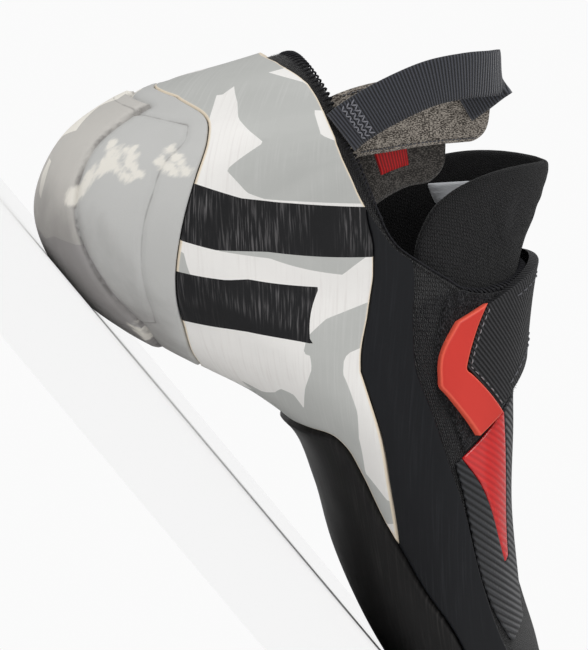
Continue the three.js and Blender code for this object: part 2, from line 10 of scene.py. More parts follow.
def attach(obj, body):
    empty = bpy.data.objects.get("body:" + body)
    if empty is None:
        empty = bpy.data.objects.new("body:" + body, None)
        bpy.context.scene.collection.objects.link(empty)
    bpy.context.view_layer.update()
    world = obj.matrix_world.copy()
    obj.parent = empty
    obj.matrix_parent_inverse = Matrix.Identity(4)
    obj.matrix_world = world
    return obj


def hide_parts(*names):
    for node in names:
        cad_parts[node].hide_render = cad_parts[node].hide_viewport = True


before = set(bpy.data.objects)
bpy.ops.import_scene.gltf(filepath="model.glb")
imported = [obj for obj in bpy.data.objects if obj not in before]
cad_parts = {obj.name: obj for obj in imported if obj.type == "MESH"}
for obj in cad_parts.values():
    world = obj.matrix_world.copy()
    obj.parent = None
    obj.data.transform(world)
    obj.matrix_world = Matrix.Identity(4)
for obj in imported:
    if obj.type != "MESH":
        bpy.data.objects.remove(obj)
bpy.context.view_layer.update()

# Upper. A bootie of stretch knit with a 2 mm wall, knitted in one piece and pulled over the last. It is
# open at the collar and underneath, its collar edge is a soft roll with overlock stitches, and where the
# toes flex the worn knit has soft troughs and ridges. The last's sizes and sections are the CAD source's.
LENGTH = 246.0
BALL_WIDTH = 88.0
HEEL_WIDTH = 56.0
TONGUE_HEIGHT = 119.0
REST_X = 0.125 * LENGTH
UPPER_WALL = 2.0
METRES = 0.001  # a millimetre in Blender's own unit
UV_PER_MM = 0.01  # both UV layers count hundreds of millimetres
LAST_END = 18.3  # the highest place that any piece reaches

# Sections of the last, as in the CAD source: one row each, from the toe back and up round the heel.
SECTION_KEYS = ("lowX", "lowZ", "highX", "highZ", "outBall", "outHeel", "inBall", "inHeel",
                "shift", "outLevel", "inLevel", "low", "top")
SECTIONS = [
    (1.0, 0.12, 1.0, 0.12, 0, 0, 0, 0, 0.065, 0.4, 0.4, 2.2, 2.0),
    (0.9955, 0.084, 0.9965, 0.162, 0.09, 0, 0.09, 0, 0.064, 0.4, 0.4, 2.3, 2.0),
    (0.98, 0.052, 0.984, 0.212, 0.19, 0, 0.18, 0, 0.06, 0.4, 0.4, 2.4, 2.1),
    (0.935, 0.026, 0.935, 0.277, 0.315, 0, 0.29, 0, 0.05, 0.38, 0.4, 2.7, 2.2),
    (0.862, 0.0255, 0.85, 0.34, 0.42, 0, 0.395, 0, 0.034, 0.35, 0.38, 2.9, 2.2),
    (0.765, 0.048, 0.75, 0.405, 0.485, 0, 0.465, 0, 0.018, 0.34, 0.38, 2.9, 2.1),
    (0.658, 0.098, 0.647, 0.52, 0.51, 0, 0.49, 0, 0.008, 0.33, 0.38, 2.7, 2.0),
    (0.553, 0.168, 0.564, 0.672, 0.4, 0.115, 0.36, 0.115, 0, 0.32, 0.4, 2.5, 1.9),
    (0.456, 0.214, 0.502, 0.792, 0.26, 0.24, 0.2, 0.25, -0.004, 0.3, 0.42, 2.4, 1.9),
    (0.366, 0.184, 0.463, 0.885, 0.12, 0.375, 0.07, 0.39, -0.004, 0.28, 0.38, 2.4, 1.9),
    (0.281, 0.114, 0.444, 0.952, 0.03, 0.48, 0.01, 0.475, 0, 0.27, 0.3, 2.4, 1.9),
    (0.203, 0.049, 0.433, 0.998, 0, 0.5, 0, 0.5, 0, 0.26, 0.26, 2.2, 1.9),
    (0.126, 0.02, 0.423, 1.03, 0, 0.5, 0, 0.5, 0, 0.25, 0.25, 2.1, 1.9),
    (0.052, 0.062, 0.413, 1.054, 0, 0.5, 0, 0.5, 0, 0.27, 0.27, 2.0, 1.9),
    (0.014, 0.184, 0.404, 1.074, 0, 0.492, 0, 0.492, 0, 0.32, 0.32, 2.0, 1.9),
    (0.013, 0.319, 0.395, 1.091, 0, 0.468, 0, 0.468, 0, 0.38, 0.38, 2, 1.9),
    (0.033, 0.454, 0.386, 1.107, 0, 0.436, 0, 0.436, 0, 0.42, 0.42, 2, 1.9),
    (0.062, 0.588, 0.377, 1.122, 0, 0.411, 0, 0.411, 0, 0.44, 0.44, 2, 1.9),
    (0.09, 0.723, 0.368, 1.136, 0, 0.395, 0, 0.395, 0, 0.45, 0.45, 2, 1.9),
]
COLLAR_LINE = [
    (-60, 92), (-30, 89), (-12, 87), (0, 84.5), (14, 79.5), (28, 76.5), (42, 75.5), (56, 76.5), (66, 79.5),
    (74, 86), (80, 94), (87, 105), (98, 118), (99, 170),
]


# The last's surface, read from its sections once and kept as a fine grid of points and normals.
def smooth(values, place):
    """A column of a table at a place between its rows, smooth through them and straight past the end."""
    end = len(values) - 1
    if place >= end:
        return values[end] + (values[end] - values[end - 1]) * (place - end)
    i = max(0, int(math.floor(place)))
    t = place - i
    before = values[i - 1] if i > 0 else 2 * values[0] - values[1]
    here = values[i]
    ahead = values[i + 1]
    after = values[i + 2] if i + 2 <= end else 2 * ahead - here
    bend = 2 * before - 5 * here + 4 * ahead - after
    twist = 3 * (here - ahead) + after - before
    return here + 0.5 * t * (ahead - before + t * (bend + t * twist))


COLUMNS = {key: [row[i] for row in SECTIONS] for i, key in enumerate(SECTION_KEYS)}
HALF_STEPS = 60
STEP = np.arange(2 * HALF_STEPS + 1)
ANGLE = np.pi / 2 * STEP / HALF_STEPS


def ring(place, turns):
    """Points of one ring of the last at the given turns."""
    at = {key: smooth(column, place) for key, column in COLUMNS.items()}
    low = np.array([at["lowX"] * LENGTH - REST_X, at["shift"] * LENGTH, at["lowZ"] * TONGUE_HEIGHT])
    high = np.array([at["highX"] * LENGTH - REST_X, at["shift"] * LENGTH, at["highZ"] * TONGUE_HEIGHT])
    tall = max(float(np.linalg.norm(high - low)), 1e-6)
    points = np.zeros((len(turns), 3))
    full = np.where(STEP <= HALF_STEPS, at["low"], at["top"])
    out = np.abs(np.sin(ANGLE)) ** (2 / full)
    along = np.abs(np.cos(ANGLE)) ** (2 / full)
    for side, sign in (("out", -1), ("in", 1)):
        width = max(0.0, at[side + "Ball"] * BALL_WIDTH + at[side + "Heel"] * HEEL_WIDTH)
        level = at[side + "Level"]
        rise = np.where(STEP <= HALF_STEPS, level * (1 - along), level + (1 - level) * along) * tall
        reach = width * out
        length = np.concatenate([[0], np.cumsum(np.hypot(np.diff(reach), np.diff(rise)))])
        middle = length[HALF_STEPS]
        share = np.where(
            length <= middle,
            0.5 * length / max(middle, 1e-9),
            0.5 + 0.5 * (length - middle) / max(length[-1] - middle, 1e-9),
        )
        mine = (turns < 0) if sign < 0 else (turns >= 0)
        up = np.interp(np.abs(turns[mine]), share, rise)
        point = low + (high - low) * (up / tall)[:, None]
        point[:, 1] += sign * np.interp(np.abs(turns[mine]), share, reach)
        points[mine] = point
    return points


PLACE_STEP = 0.03
TURN_STEP = 0.005
PLACES = np.arange(0, LAST_END + 0.1, PLACE_STEP)
TURNS = np.arange(-1, 1 + TURN_STEP / 2, TURN_STEP)
POINTS = np.array([ring(place, TURNS) for place in PLACES])
ALONG = np.gradient(POINTS, PLACE_STEP, axis=0)
wrapped = np.concatenate([POINTS[:, -2:-1], POINTS, POINTS[:, 1:2]], axis=1)
AROUND = (wrapped[:, 2:] - wrapped[:, :-2]) / (2 * TURN_STEP)
NORMALS = np.cross(ALONG, AROUND)
NORMALS /= np.linalg.norm(NORMALS, axis=-1, keepdims=True) + 1e-12
NORMALS[0] = (1, 0, 0)
UV_ALONG = np.cumsum(np.linalg.norm(ALONG, axis=-1) * PLACE_STEP, axis=0)
UV_AROUND = np.cumsum(np.linalg.norm(AROUND, axis=-1) * TURN_STEP, axis=1)
UV_AROUND -= UV_AROUND[:, [len(TURNS) // 2]]


def read(table, place, turn):
    """A value of a grid over the last, between its points."""
    turn = turn - 2 * np.round(turn / 2)
    a = np.clip(place / PLACE_STEP, 0, len(PLACES) - 1.001)
    b = np.clip((turn + 1) / TURN_STEP, 0, len(TURNS) - 1.001)
    i = a.astype(int)
    j = b.astype(int)
    u = a - i
    v = b - j
    if table.ndim == 3:
        u = u[..., None]
        v = v[..., None]
    low = table[i, j] * (1 - v) + table[i, j + 1] * v
    high = table[i + 1, j] * (1 - v) + table[i + 1, j + 1] * v
    return low * (1 - u) + high * u


def on_last(place, turn, depth=0.0):
    """Points in millimetres, moved out from the last by depth."""
    place = np.asarray(place, float)
    turn = np.asarray(turn, float)
    normal = read(NORMALS, place, turn)
    normal /= np.linalg.norm(normal, axis=-1, keepdims=True) + 1e-12
    depth = np.broadcast_to(np.asarray(depth, float), place.shape)
    return read(POINTS, place, turn) + normal * depth[..., None]


def wrap(turn, centre):
    """The same turn, counted so that it lies within 1 of the centre."""
    return turn - 2 * np.round((turn - centre) / 2)


def resample(line, step):
    """A chain of places and turns with even steps in millimetres."""
    points = on_last(line[:, 0], line[:, 1])
    length = np.concatenate([[0], np.cumsum(np.linalg.norm(np.diff(points, axis=0), axis=1))])
    count = max(2, int(round(length[-1] / step)) + 1)
    even = np.linspace(0, length[-1], count)
    return np.stack([np.interp(even, length, line[:, 0]), np.interp(even, length, line[:, 1])], axis=1)


def near_edge(place, turn, chains):
    """Distance in millimetres from each place to the nearest of some chains."""
    tree = kdtree.KDTree(sum(len(c) for c in chains))
    count = 0
    for chain in chains:
        for point in on_last(chain[:, 0], chain[:, 1]):
            tree.insert(point, count)
            count += 1
    tree.balance()
    return np.array([tree.find(point)[2] for point in on_last(place, turn)])


def ramp(value, low, high):
    """0 below low, 1 above high, smooth between."""
    t = np.clip((value - low) / (high - low), 0, 1)
    return t * t * (3 - 2 * t)


BRUSH_ALONG = np.array([0.84, 0.04, -0.54])  # the way the rubber was ground, down and forward
BRUSH_ACROSS = np.array([0.44, -0.63, 0.64])
ALMOST = 0.9999  # a turn just short of the top centre, where the two sides meet


def make_object(name, points, faces, uv=None, attributes=None, from_top=False):
    """A smooth mesh object from points in millimetres, with the surface's own millimetres as one UV layer
    and straight ones for the grinding marks as another. from_top counts them from the top centre."""
    mesh = bpy.data.meshes.new(name)
    mesh.from_pydata((np.asarray(points) * METRES).tolist(), [], [list(map(int, f)) for f in faces])
    mesh.update()
    if uv is not None:
        layer = mesh.uv_layers.new(name="surface")
        index = np.zeros(len(mesh.loops), int)
        mesh.loops.foreach_get("vertex_index", index)
        corner = np.asarray(uv, float)[index]
        if attributes and "place" in attributes:
            where = np.asarray(attributes["place"])[index]
            right = read(UV_AROUND, where, np.full(len(where), ALMOST)) * UV_PER_MM
            left = read(UV_AROUND, where, np.full(len(where), -ALMOST)) * UV_PER_MM
            girth = right - left
            if from_top:
                corner[:, 1] -= np.where(wrap(np.asarray(attributes["turn"])[index], 0.0) >= 0, right, left)
            owner = np.repeat(np.arange(len(mesh.polygons)),
                              [polygon.loop_total for polygon in mesh.polygons])
            highest = np.full(len(mesh.polygons), -1e9)
            np.maximum.at(highest, owner, corner[:, 1])
            across = highest[owner] - corner[:, 1] > girth * 0.6
            corner[:, 1] += np.where(across & (girth > 0.02), girth, 0)
        layer.data.foreach_set("uv", corner.astype(np.float32).ravel())
        brushed = np.stack([np.asarray(points) @ way for way in (BRUSH_ALONG, BRUSH_ACROSS)], 1) * UV_PER_MM
        layer = mesh.uv_layers.new(name="brush")
        layer.data.foreach_set("uv", brushed[index].astype(np.float32).ravel())
    for key, values in (attributes or {}).items():
        field = mesh.attributes.new(key, "FLOAT", "POINT")
        field.data.foreach_set("value", np.asarray(values, np.float32))
    mesh.polygons.foreach_set("use_smooth", [True] * len(mesh.polygons))
    thing = bpy.data.objects.new(name, mesh)
    bpy.context.scene.collection.objects.link(thing)
    return thing


collar_x = [point[0] for point in COLLAR_LINE]
collar_z = [point[1] for point in COLLAR_LINE]
above = POINTS[..., 2] > np.interp(POINTS[..., 0], collar_x, collar_z)
above[PLACES < 4.5] = False
COLLAR_PLACE = PLACES[np.argmax(above, axis=0)]
COLLAR_PLACE[np.argmax(above, axis=0) == 0] = PLACES[-1]


def smooth_round(values, width):
    """A running mean round a closed ring of values."""
    kernel = np.ones(width) / width
    body = values[:-1]
    padded = np.concatenate([body[-width:], body, body[:width]])
    mean = np.convolve(padded, kernel, "same")[width:-width]
    return np.concatenate([mean, mean[:1]])


COLLAR_PLACE = smooth_round(COLLAR_PLACE, 9)


def collar_at(turn):
    """The collar's place at each turn."""
    return np.interp(wrap(turn, 0.0), TURNS, COLLAR_PLACE)


def creased(place, turn, lines):
    """Soft troughs and ridges: each line has its places and turns, its half width and its height in mm."""
    total = np.zeros(np.shape(place))
    for line, width, height in lines:
        chain = resample(np.array(line, float), 0.5)
        away = near_edge(np.ravel(place), np.ravel(turn), [chain]).reshape(np.shape(place))
        total += height * np.exp(-((away / width) ** 2))
    return total


# Main creases of the worn knit: two troughs where the toes flex, and folds beside the strap.
UPPER_CREASES = [
    ([(5.4, 0.62), (5.8, 0.8), (6.1, 1.0), (5.9, 1.2), (5.5, 1.36)], 3.2, -0.7),
    ([(4.6, 0.68), (4.9, 0.85), (5.1, 1.05), (4.9, 1.25)], 3.0, -0.5),
    ([(5.0, 0.7), (5.4, 0.9), (5.5, 1.1), (5.3, 1.25)], 3.4, 0.45),
    ([(6.9, 0.66), (7.2, 0.8), (7.3, 0.95)], 2.4, -0.55),
    ([(6.7, 1.1), (7.0, 1.2), (7.0, 1.3)], 2.4, -0.5),
    ([(9.6, 0.75), (9.9, 0.85), (10.0, 0.98), (9.9, 1.1)], 2.2, -0.5),
]


def build_upper():
    """Rows from the toe up the outside, over the rolled collar edge and down the inside."""
    turns = np.linspace(-1, 1, 221)[:-1]
    top = collar_at(turns)
    share = np.concatenate([np.linspace(0, 1, 40) ** 1.3 * 0.2, np.linspace(0.2, 1, 121)[1:]])
    rows = []
    for s in share:
        rows.append((top * s + 0.004 * (1 - s), np.zeros(len(turns))))
    for angle in np.linspace(0, np.pi, 9)[1:-1]:
        over = UPPER_WALL * (0.62 * math.cos(angle) - 0.5)
        rows.append((top + 0.1 * math.sin(angle), np.full(len(turns), over)))
    for s in np.linspace(1, 0.14, 90):
        rows.append((top * s, np.full(len(turns), -UPPER_WALL)))
    place = np.array([row[0] for row in rows])
    depth = np.array([row[1] for row in rows])
    turn = np.broadcast_to(turns, place.shape)
    outer = np.arange(len(rows)) < len(share)
    hem = (top[None, :] - place) * 8.0
    roll = np.where(outer[:, None], 0.45 * np.exp(-((hem - 2.2) / 1.6) ** 2), 0)
    points = on_last(place, turn, depth + roll + creased(place, turn, UPPER_CREASES))
    n, m = place.shape
    index = np.arange(n * m).reshape(n, m)
    right = np.roll(index, -1, axis=1)
    faces = np.stack([index[:-1], index[1:], right[1:], right[:-1]], -1).reshape(-1, 4)
    flat = points.reshape(-1, 3)
    uv = np.stack([read(UV_ALONG, place, turn), read(UV_AROUND, place, turn)], -1) * UV_PER_MM
    uv = uv.reshape(-1, 2)
    return make_object("upper_knit", flat, faces, uv, {"place": place.ravel(), "turn": turn.ravel()}, True)


upper = build_upper()

# Materials are fed with the surface's millimetres, stored as UV layers. Effects are node groups.


def make_group(name, inputs, output):
    """An empty node group: its float inputs with their first values, and the name of its one output."""
    tree = bpy.data.node_groups.new(name, "ShaderNodeTree")
    for label, value in inputs.items():
        socket = tree.interface.new_socket(label, in_out="INPUT", socket_type="NodeSocketFloat")
        socket.default_value = value
    tree.interface.new_socket(output, in_out="OUTPUT", socket_type="NodeSocketFloat")
    return tree, tree.nodes.new("NodeGroupInput"), tree.nodes.new("NodeGroupOutput")


def node(tree, kind, links=None, **values):
    """A node with its sockets linked or set, and its properties set."""
    made = tree.nodes.new(kind)
    for key, value in values.items():
        setattr(made, key, value)
    for key, value in (links or {}).items():
        socket = made.inputs[key]
        if isinstance(value, bpy.types.NodeSocket):
            tree.links.new(value, socket)
        else:
            socket.default_value = value
    return made


def maths(tree, operation, first, second=0.0, third=0.0):
    """The output of one maths node over sockets or values."""
    links = {0: first, 1: second}
    if operation == "MULTIPLY_ADD":
        links[2] = third
    return node(tree, "ShaderNodeMath", links, operation=operation).outputs[0]


def band_pass(tree, value, low, high):
    """0 below low, 1 above high, smooth between."""
    links = {"Value": value, "From Min": low, "From Max": high}
    return node(tree, "ShaderNodeMapRange", links, interpolation_type="SMOOTHSTEP").outputs[0]


# Grain: fine noise, in millimetres, with a stretch along the shoe. Value is 0 to 1.
GRAIN, group_in, group_out = make_group("grain", {"Size": 1.0, "Stretch": 1.0, "Detail": 3.0}, "Value")
uv = node(GRAIN, "ShaderNodeUVMap", uv_map="surface").outputs[0]
parts = node(GRAIN, "ShaderNodeSeparateXYZ", {0: uv})
slow = maths(GRAIN, "DIVIDE", parts.outputs[0], group_in.outputs["Stretch"])
vector = node(GRAIN, "ShaderNodeCombineXYZ", {0: slow, 1: parts.outputs[1]}).outputs[0]
scale = maths(GRAIN, "DIVIDE", 1 / UV_PER_MM, group_in.outputs["Size"])
noise = node(GRAIN, "ShaderNodeTexNoise",
             {"Vector": vector, "Scale": scale, "Detail": group_in.outputs["Detail"]})
GRAIN.links.new(noise.outputs[0], group_out.inputs["Value"])

# Knit: rows of small V stitches with a pitch in millimetres. Height is 0 to 1.
KNIT, group_in, group_out = make_group("knit", {"Pitch": 1.4}, "Height")
uv = node(KNIT, "ShaderNodeUVMap", uv_map="surface").outputs[0]
parts = node(KNIT, "ShaderNodeSeparateXYZ", {0: uv})
noise = node(KNIT, "ShaderNodeTexNoise", {"Vector": uv, "Scale": 60.0, "Detail": 1.0}).outputs[0]
bend = maths(KNIT, "MULTIPLY", maths(KNIT, "SUBTRACT", noise, 0.5), 0.004)
column = maths(KNIT, "DIVIDE", maths(KNIT, "ADD", parts.outputs[1], bend),
               maths(KNIT, "MULTIPLY", group_in.outputs["Pitch"], UV_PER_MM))
side = maths(KNIT, "PINGPONG", column, 0.5)
row = maths(KNIT, "DIVIDE", parts.outputs[0],
            maths(KNIT, "MULTIPLY", group_in.outputs["Pitch"], 0.75 * UV_PER_MM))
slanted = maths(KNIT, "ADD", row, maths(KNIT, "MULTIPLY", side, 1.6))
stitch = maths(KNIT, "PINGPONG", slanted, 0.5)
leg = maths(KNIT, "PINGPONG", side, 0.25)
height = maths(KNIT, "MULTIPLY", band_pass(KNIT, stitch, 0.06, 0.34), band_pass(KNIT, leg, 0.015, 0.17))
KNIT.links.new(height, group_out.inputs["Height"])


def add_group(tree, group, **values):
    """A copy of a group in a material's tree, with its inputs set, and its output."""
    made = tree.nodes.new("ShaderNodeGroup")
    made.node_tree = group
    for key, value in values.items():
        made.inputs[key].default_value = value
    return made.outputs[0]


def start_material(name, colour, rough, **sockets):
    """A principled material whose even values are set on its own sockets."""
    material = bpy.data.materials.new(name)
    material.use_nodes = True
    tree = material.node_tree
    shader = tree.nodes["Principled BSDF"]
    shader.inputs["Base Color"].default_value = (*colour, 1)
    shader.inputs["Roughness"].default_value = rough
    shader.inputs["Specular IOR Level"].default_value = 0.3
    for key, value in sockets.items():
        shader.inputs[key.replace("_", " ")].default_value = value
    return material, tree, shader


def blend(tree, share, first, second):
    """first where share is 0, second where it is 1; either may be a colour or a socket."""
    mix = tree.nodes.new("ShaderNodeMix")
    mix.data_type = "RGBA"
    tree.links.new(share, mix.inputs[0])
    for socket, value in ((mix.inputs[6], first), (mix.inputs[7], second)):
        if isinstance(value, bpy.types.NodeSocket):
            tree.links.new(value, socket)
        else:
            socket.default_value = (*value, 1)
    return mix.outputs[2]


def relief(tree, shader, height, millimetres):
    """A bump of a real height, added over any bump that is there."""
    bump = node(tree, "ShaderNodeBump",
                {"Height": height, "Distance": millimetres * METRES, "Strength": 1.0})
    if shader.inputs["Normal"].links:
        tree.links.new(shader.inputs["Normal"].links[0].from_socket, bump.inputs["Normal"])
    tree.links.new(bump.outputs[0], shader.inputs["Normal"])


def knit(name, low, high, pitch, height, fuzz=0.3):
    """Knitted yarn: dark between the stitches, lighter on top, with loose fibre ends."""
    material, tree, shader = start_material(name, high, 0.95, Specular_IOR_Level=0.12)
    shader.inputs["Sheen Weight"].default_value = fuzz
    shader.inputs["Sheen Roughness"].default_value = 0.6
    rise = add_group(tree, KNIT, Pitch=pitch)
    fibre = add_group(tree, GRAIN, Size=0.4, Stretch=1.0, Detail=3.0)
    colour = blend(tree, rise, low, high)
    pale = tuple(min(1.0, c * 3.2) for c in high)
    colour = blend(tree, maths(tree, "MULTIPLY", band_pass(tree, fibre, 0.56, 0.72), 0.6), colour, pale)
    tree.links.new(colour, shader.inputs["Base Color"])
    relief(tree, shader, rise, height)
    relief(tree, shader, fibre, 0.12)
    return material


def paint(red, green, blue):
    """A screen colour as Blender's linear one."""
    values = [c / 255 for c in (red, green, blue)]
    return tuple(c / 12.92 if c < 0.04045 else ((c + 0.055) / 1.055) ** 2.4 for c in values)


def dress(thing, *materials):
    """Gives a piece its materials, in the order of the numbers of its patches."""
    for material in materials:
        thing.data.materials.append(material)


dress(upper, knit("collar_knit", paint(5, 5, 6), paint(26, 26, 28), 1.2, 0.4, 0.2))
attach(upper, "root")
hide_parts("upper")

# Tongue. A padded knit shell sewn in under the upper's front edge. It stands up over the instep, open to
# the ankle, and bends with a few soft folds.
GAP = 0.3  # air between pieces that are glued or sewn together, as in the CAD source
TONGUE_WALL = 2.4

# A panel's rows are a place and the turns that it lies between. place counts SECTIONS from the toe. A turn
# is 0 under the foot, 0.5 where the ring is widest, 1 on top, and below nought on the outer side. In tables
# with one turn both sides are alike. The panels are the CAD source's.
TONGUE_EDGE = [
    (6.9, 0.92), (7.2, 0.8), (8.0, 0.74), (9.0, 0.7), (10.0, 0.7), (11.0, 0.73), (12.0, 0.765),
    (12.8, 0.79), (13.5, 0.82), (14.1, 0.86), (14.45, 0.91), (14.6, 0.97),
]


def over_top(rows):
    """Rows of one turn as a panel that runs over the top from side to side."""
    return [(place, -2 + edge, -edge) for place, edge in rows]


def loop(rows, grow=0.0, step=0.3):
    """The panel's edge as a closed chain, grown outwards along the surface."""
    count = (len(rows) - 1) * 8
    where = np.arange(count + 1) / 8
    place = np.array([smooth([row[0] for row in rows], w) for w in where])
    first = np.array([smooth([row[1] for row in rows], w) for w in where])
    second = np.array([smooth([row[2] for row in rows], w) for w in where])
    line = np.concatenate([np.stack([place, first], 1), np.stack([place, second], 1)[::-1]])
    line = np.concatenate([line, line[:1]])
    line[:, 0] = np.clip(line[:, 0], 0, LAST_END)
    line = resample(line, step)[:-1]
    return shifted(line, grow) if grow else line


def shifted(line, grow, closed=True):
    """A chain moved sideways along the surface, to the outside of a loop."""
    points = on_last(line[:, 0], line[:, 1])
    if closed:
        along = np.roll(points, -1, axis=0) - np.roll(points, 1, axis=0)
    else:
        along = np.gradient(points, axis=0)
    along /= np.linalg.norm(along, axis=1, keepdims=True) + 1e-12
    normal = read(NORMALS, line[:, 0], line[:, 1])
    out = np.cross(normal, along)
    area = 0.5 * np.sum(line[:, 0] * np.roll(line[:, 1], -1) - np.roll(line[:, 0], -1) * line[:, 1])
    out *= -grow if area > 0 else grow
    per_place = read(ALONG, line[:, 0], line[:, 1])
    per_turn = read(AROUND, line[:, 0], line[:, 1])
    a = np.sum(per_place * per_place, 1)
    b = np.sum(per_place * per_turn, 1)
    c = np.sum(per_turn * per_turn, 1)
    u = np.sum(per_place * out, 1)
    v = np.sum(per_turn * out, 1)
    det = np.maximum(a * c - b * b, 1e-6)
    moved = line.copy()
    moved[:, 0] = np.clip(line[:, 0] + (u * c - v * b) / det, 0, LAST_END)
    moved[:, 1] = line[:, 1] + (v * a - u * b) / det
    return moved


def inside(place, turn, chain):
    """Whether each point lies within a closed chain."""
    turn = wrap(turn, (chain[:, 1].min() + chain[:, 1].max()) / 2)
    result = np.zeros(place.shape, bool)
    x1, y1 = chain[:, 0], chain[:, 1]
    x2, y2 = np.roll(x1, -1), np.roll(y1, -1)
    for start in range(0, len(place), 4000):
        px = place[start:start + 4000, None]
        py = turn[start:start + 4000, None]
        crossing = ((y1 > py) != (y2 > py)) & (px < (x2 - x1) * (py - y1) / (y2 - y1 + 1e-15) + x1)
        result[start:start + 4000] = crossing.sum(1) % 2 == 1
    return result


# A panel's mesh is triangles of one pitch, with rows of its own along its edges for a rounded rim.
PLACE_MM = 14.0  # rough millimetres to a place, for triangles that are about even
TURN_MM = 80.0
RIM_ROWS = (0.16, 0.5, 1.1)  # shares of the rim's radius
EDGE_STEP = 0.45  # shares of the pitch, here and in the next three
SEAM_STEP = 0.6
PATCH_STEP = 0.7
ROW_STEP = 0.87
LINE_STEP = 0.7
SPLIT = 0.5  # turns; a jump of more than this is a chain crossing the opposite side


def skin(name, keep, edges, depth, inner, rim=0.5, pitch=2.0, centre=0.0, double=False, marks=(), lines=()):
    """A layer over part of the last. keep tells which places belong to it and edges are the chains that
    bound it. depth is its outer face, inner the depth its side walls go down to. marks are patches of
    another material: a closed list of places and turns and the material's number. lines are grooves that
    the mesh follows: a chain and the distances beside it that get their own rows."""
    # The edges, each split where it crosses the side opposite the centre
    near = kdtree.KDTree(sum(len(e) for e in edges))
    chains = []
    count = 0
    for edge in edges:
        closed = np.concatenate([edge, edge[:1]])
        for point in on_last(edge[:, 0], edge[:, 1]):
            near.insert(point, count)
            count += 1
        turned = closed.copy()
        turned[:, 1] = wrap(closed[:, 1], centre)
        breaks = np.where(np.abs(np.diff(turned[:, 1])) > 0.9)[0] + 1
        chains += [part for part in np.split(turned, breaks) if len(part) > 1]
    near.balance()

    def to_edge(place, turn):
        return np.array([near.find(point)[2] for point in on_last(place, turn)])

    # Points and lines that the mesh has to follow. known is a point's distance to the edge, where it is
    # given, and below nought elsewhere.
    loose = []
    known = []
    links = []
    for chain in chains:
        line = resample(chain, pitch * EDGE_STEP)
        start = len(loose)
        loose += line.tolist()
        known += [0.0] * len(line)
        links += [(k, k + 1) for k in range(start, start + len(line) - 1)]
        for share in RIM_ROWS:
            for side in (1, -1):
                away = share * rim
                ring_line = shifted(line, side * away, closed=False)
                ok = keep(ring_line[:, 0], ring_line[:, 1])
                ok &= np.abs(wrap(ring_line[:, 1], centre) - centre) < 0.999
                ok &= to_edge(ring_line[:, 0], ring_line[:, 1]) > away * 0.75
                ring_line[:, 1] = wrap(ring_line[:, 1], centre)
                start = len(loose)
                order = np.cumsum(ok) - 1
                loose += ring_line[ok].tolist()
                known += [away] * int(ok.sum())
                for k in np.where(ok[:-1] & ok[1:])[0]:
                    if abs(ring_line[k, 1] - ring_line[k + 1, 1]) < SPLIT:
                        links.append((start + order[k], start + order[k + 1]))
    seam = np.arange(0.02, LAST_END - 0.1, 0.05)
    for side in (-ALMOST, ALMOST):
        seam_line = resample(np.stack([seam, np.full(len(seam), centre + side)], 1), pitch * SEAM_STEP)
        seam_line = seam_line[keep(seam_line[:, 0], seam_line[:, 1])]
        loose += seam_line.tolist()
        known += [-1.0] * len(seam_line)
    patches = []
    for corners, slot in marks:
        patches.append((resample(np.array(corners + corners[:1], float), pitch * PATCH_STEP), slot))
    for patch, _ in patches:
        start = len(loose)
        loose += patch.tolist()
        known += [-1.0] * len(patch)
        links += [(k, k + 1) for k in range(start, start + len(patch) - 1)]
    rows = []
    for chain, sides in lines:
        for side in sides:
            line = resample(shifted(chain, side, closed=False) if side else chain, LINE_STEP)
            ok = keep(line[:, 0], line[:, 1]) & (to_edge(line[:, 0], line[:, 1]) > rim * 1.3)
            order = np.cumsum(ok) - 1 + len(loose)
            loose += line[ok].tolist()
            known += [-1.0] * int(ok.sum())
            links += [(order[k], order[k + 1]) for k in np.where(ok[:-1] & ok[1:])[0]]
            rows.append(line)
    # Rows of loose points in between
    span = np.concatenate(chains)
    place = max(0.0, span[:, 0].min())
    row = 0
    grid = []
    low, high = span[:, 1].min(), span[:, 1].max()
    while place < min(LAST_END, span[:, 0].max()):
        turns = np.linspace(low, high, 40)
        wide = np.linalg.norm(read(AROUND, np.full(40, place), turns), axis=1).mean()
        tall = np.linalg.norm(read(ALONG, np.full(40, place), turns), axis=1).mean()
        step = pitch / max(wide, 4.0)
        across = np.arange(low + (row % 2) * step / 2, high, step)
        grid.append(np.stack([np.full(len(across), place), across], 1))
        place += ROW_STEP * pitch / max(tall, 4.0)
        row += 1
    grid = np.concatenate(grid)
    grid = grid[keep(grid[:, 0], grid[:, 1])]
    grid = grid[to_edge(grid[:, 0], grid[:, 1]) > rim * 1.15 + pitch * 0.35]
    if rows:
        grid = grid[near_edge(grid[:, 0], grid[:, 1], rows) > 0.45]
    loose += grid.tolist()
    known += [-1.0] * len(grid)
    # Triangles over all of them, of which the piece's own are kept
    spots = [Vector((p * PLACE_MM, t * TURN_MM)) for p, t in loose]
    spots, _, faces, origin, _, _ = geometry.delaunay_2d_cdt(spots, links, [], 0, 1e-4, True)
    known = np.array([min((known[k] for k in ids), default=-1.0) for ids in origin])
    place = np.array([spot[0] / PLACE_MM for spot in spots])
    turn = np.array([spot[1] / TURN_MM for spot in spots])
    faces = np.array([face for face in faces if len(face) == 3])
    middle_p = place[faces].mean(1)
    middle_t = turn[faces].mean(1)
    kept = keep(middle_p, middle_t)
    slots = np.zeros(len(faces), int)
    for patch, slot in patches:
        slots[inside(middle_p, middle_t, patch)] = slot
    faces = faces[kept]
    slots = slots[kept]
    used = np.unique(faces)
    renumber = np.full(len(place), -1)
    renumber[used] = np.arange(len(used))
    place, turn, faces, known = place[used], turn[used], renumber[faces], known[used]
    place = np.clip(place, 0, LAST_END)
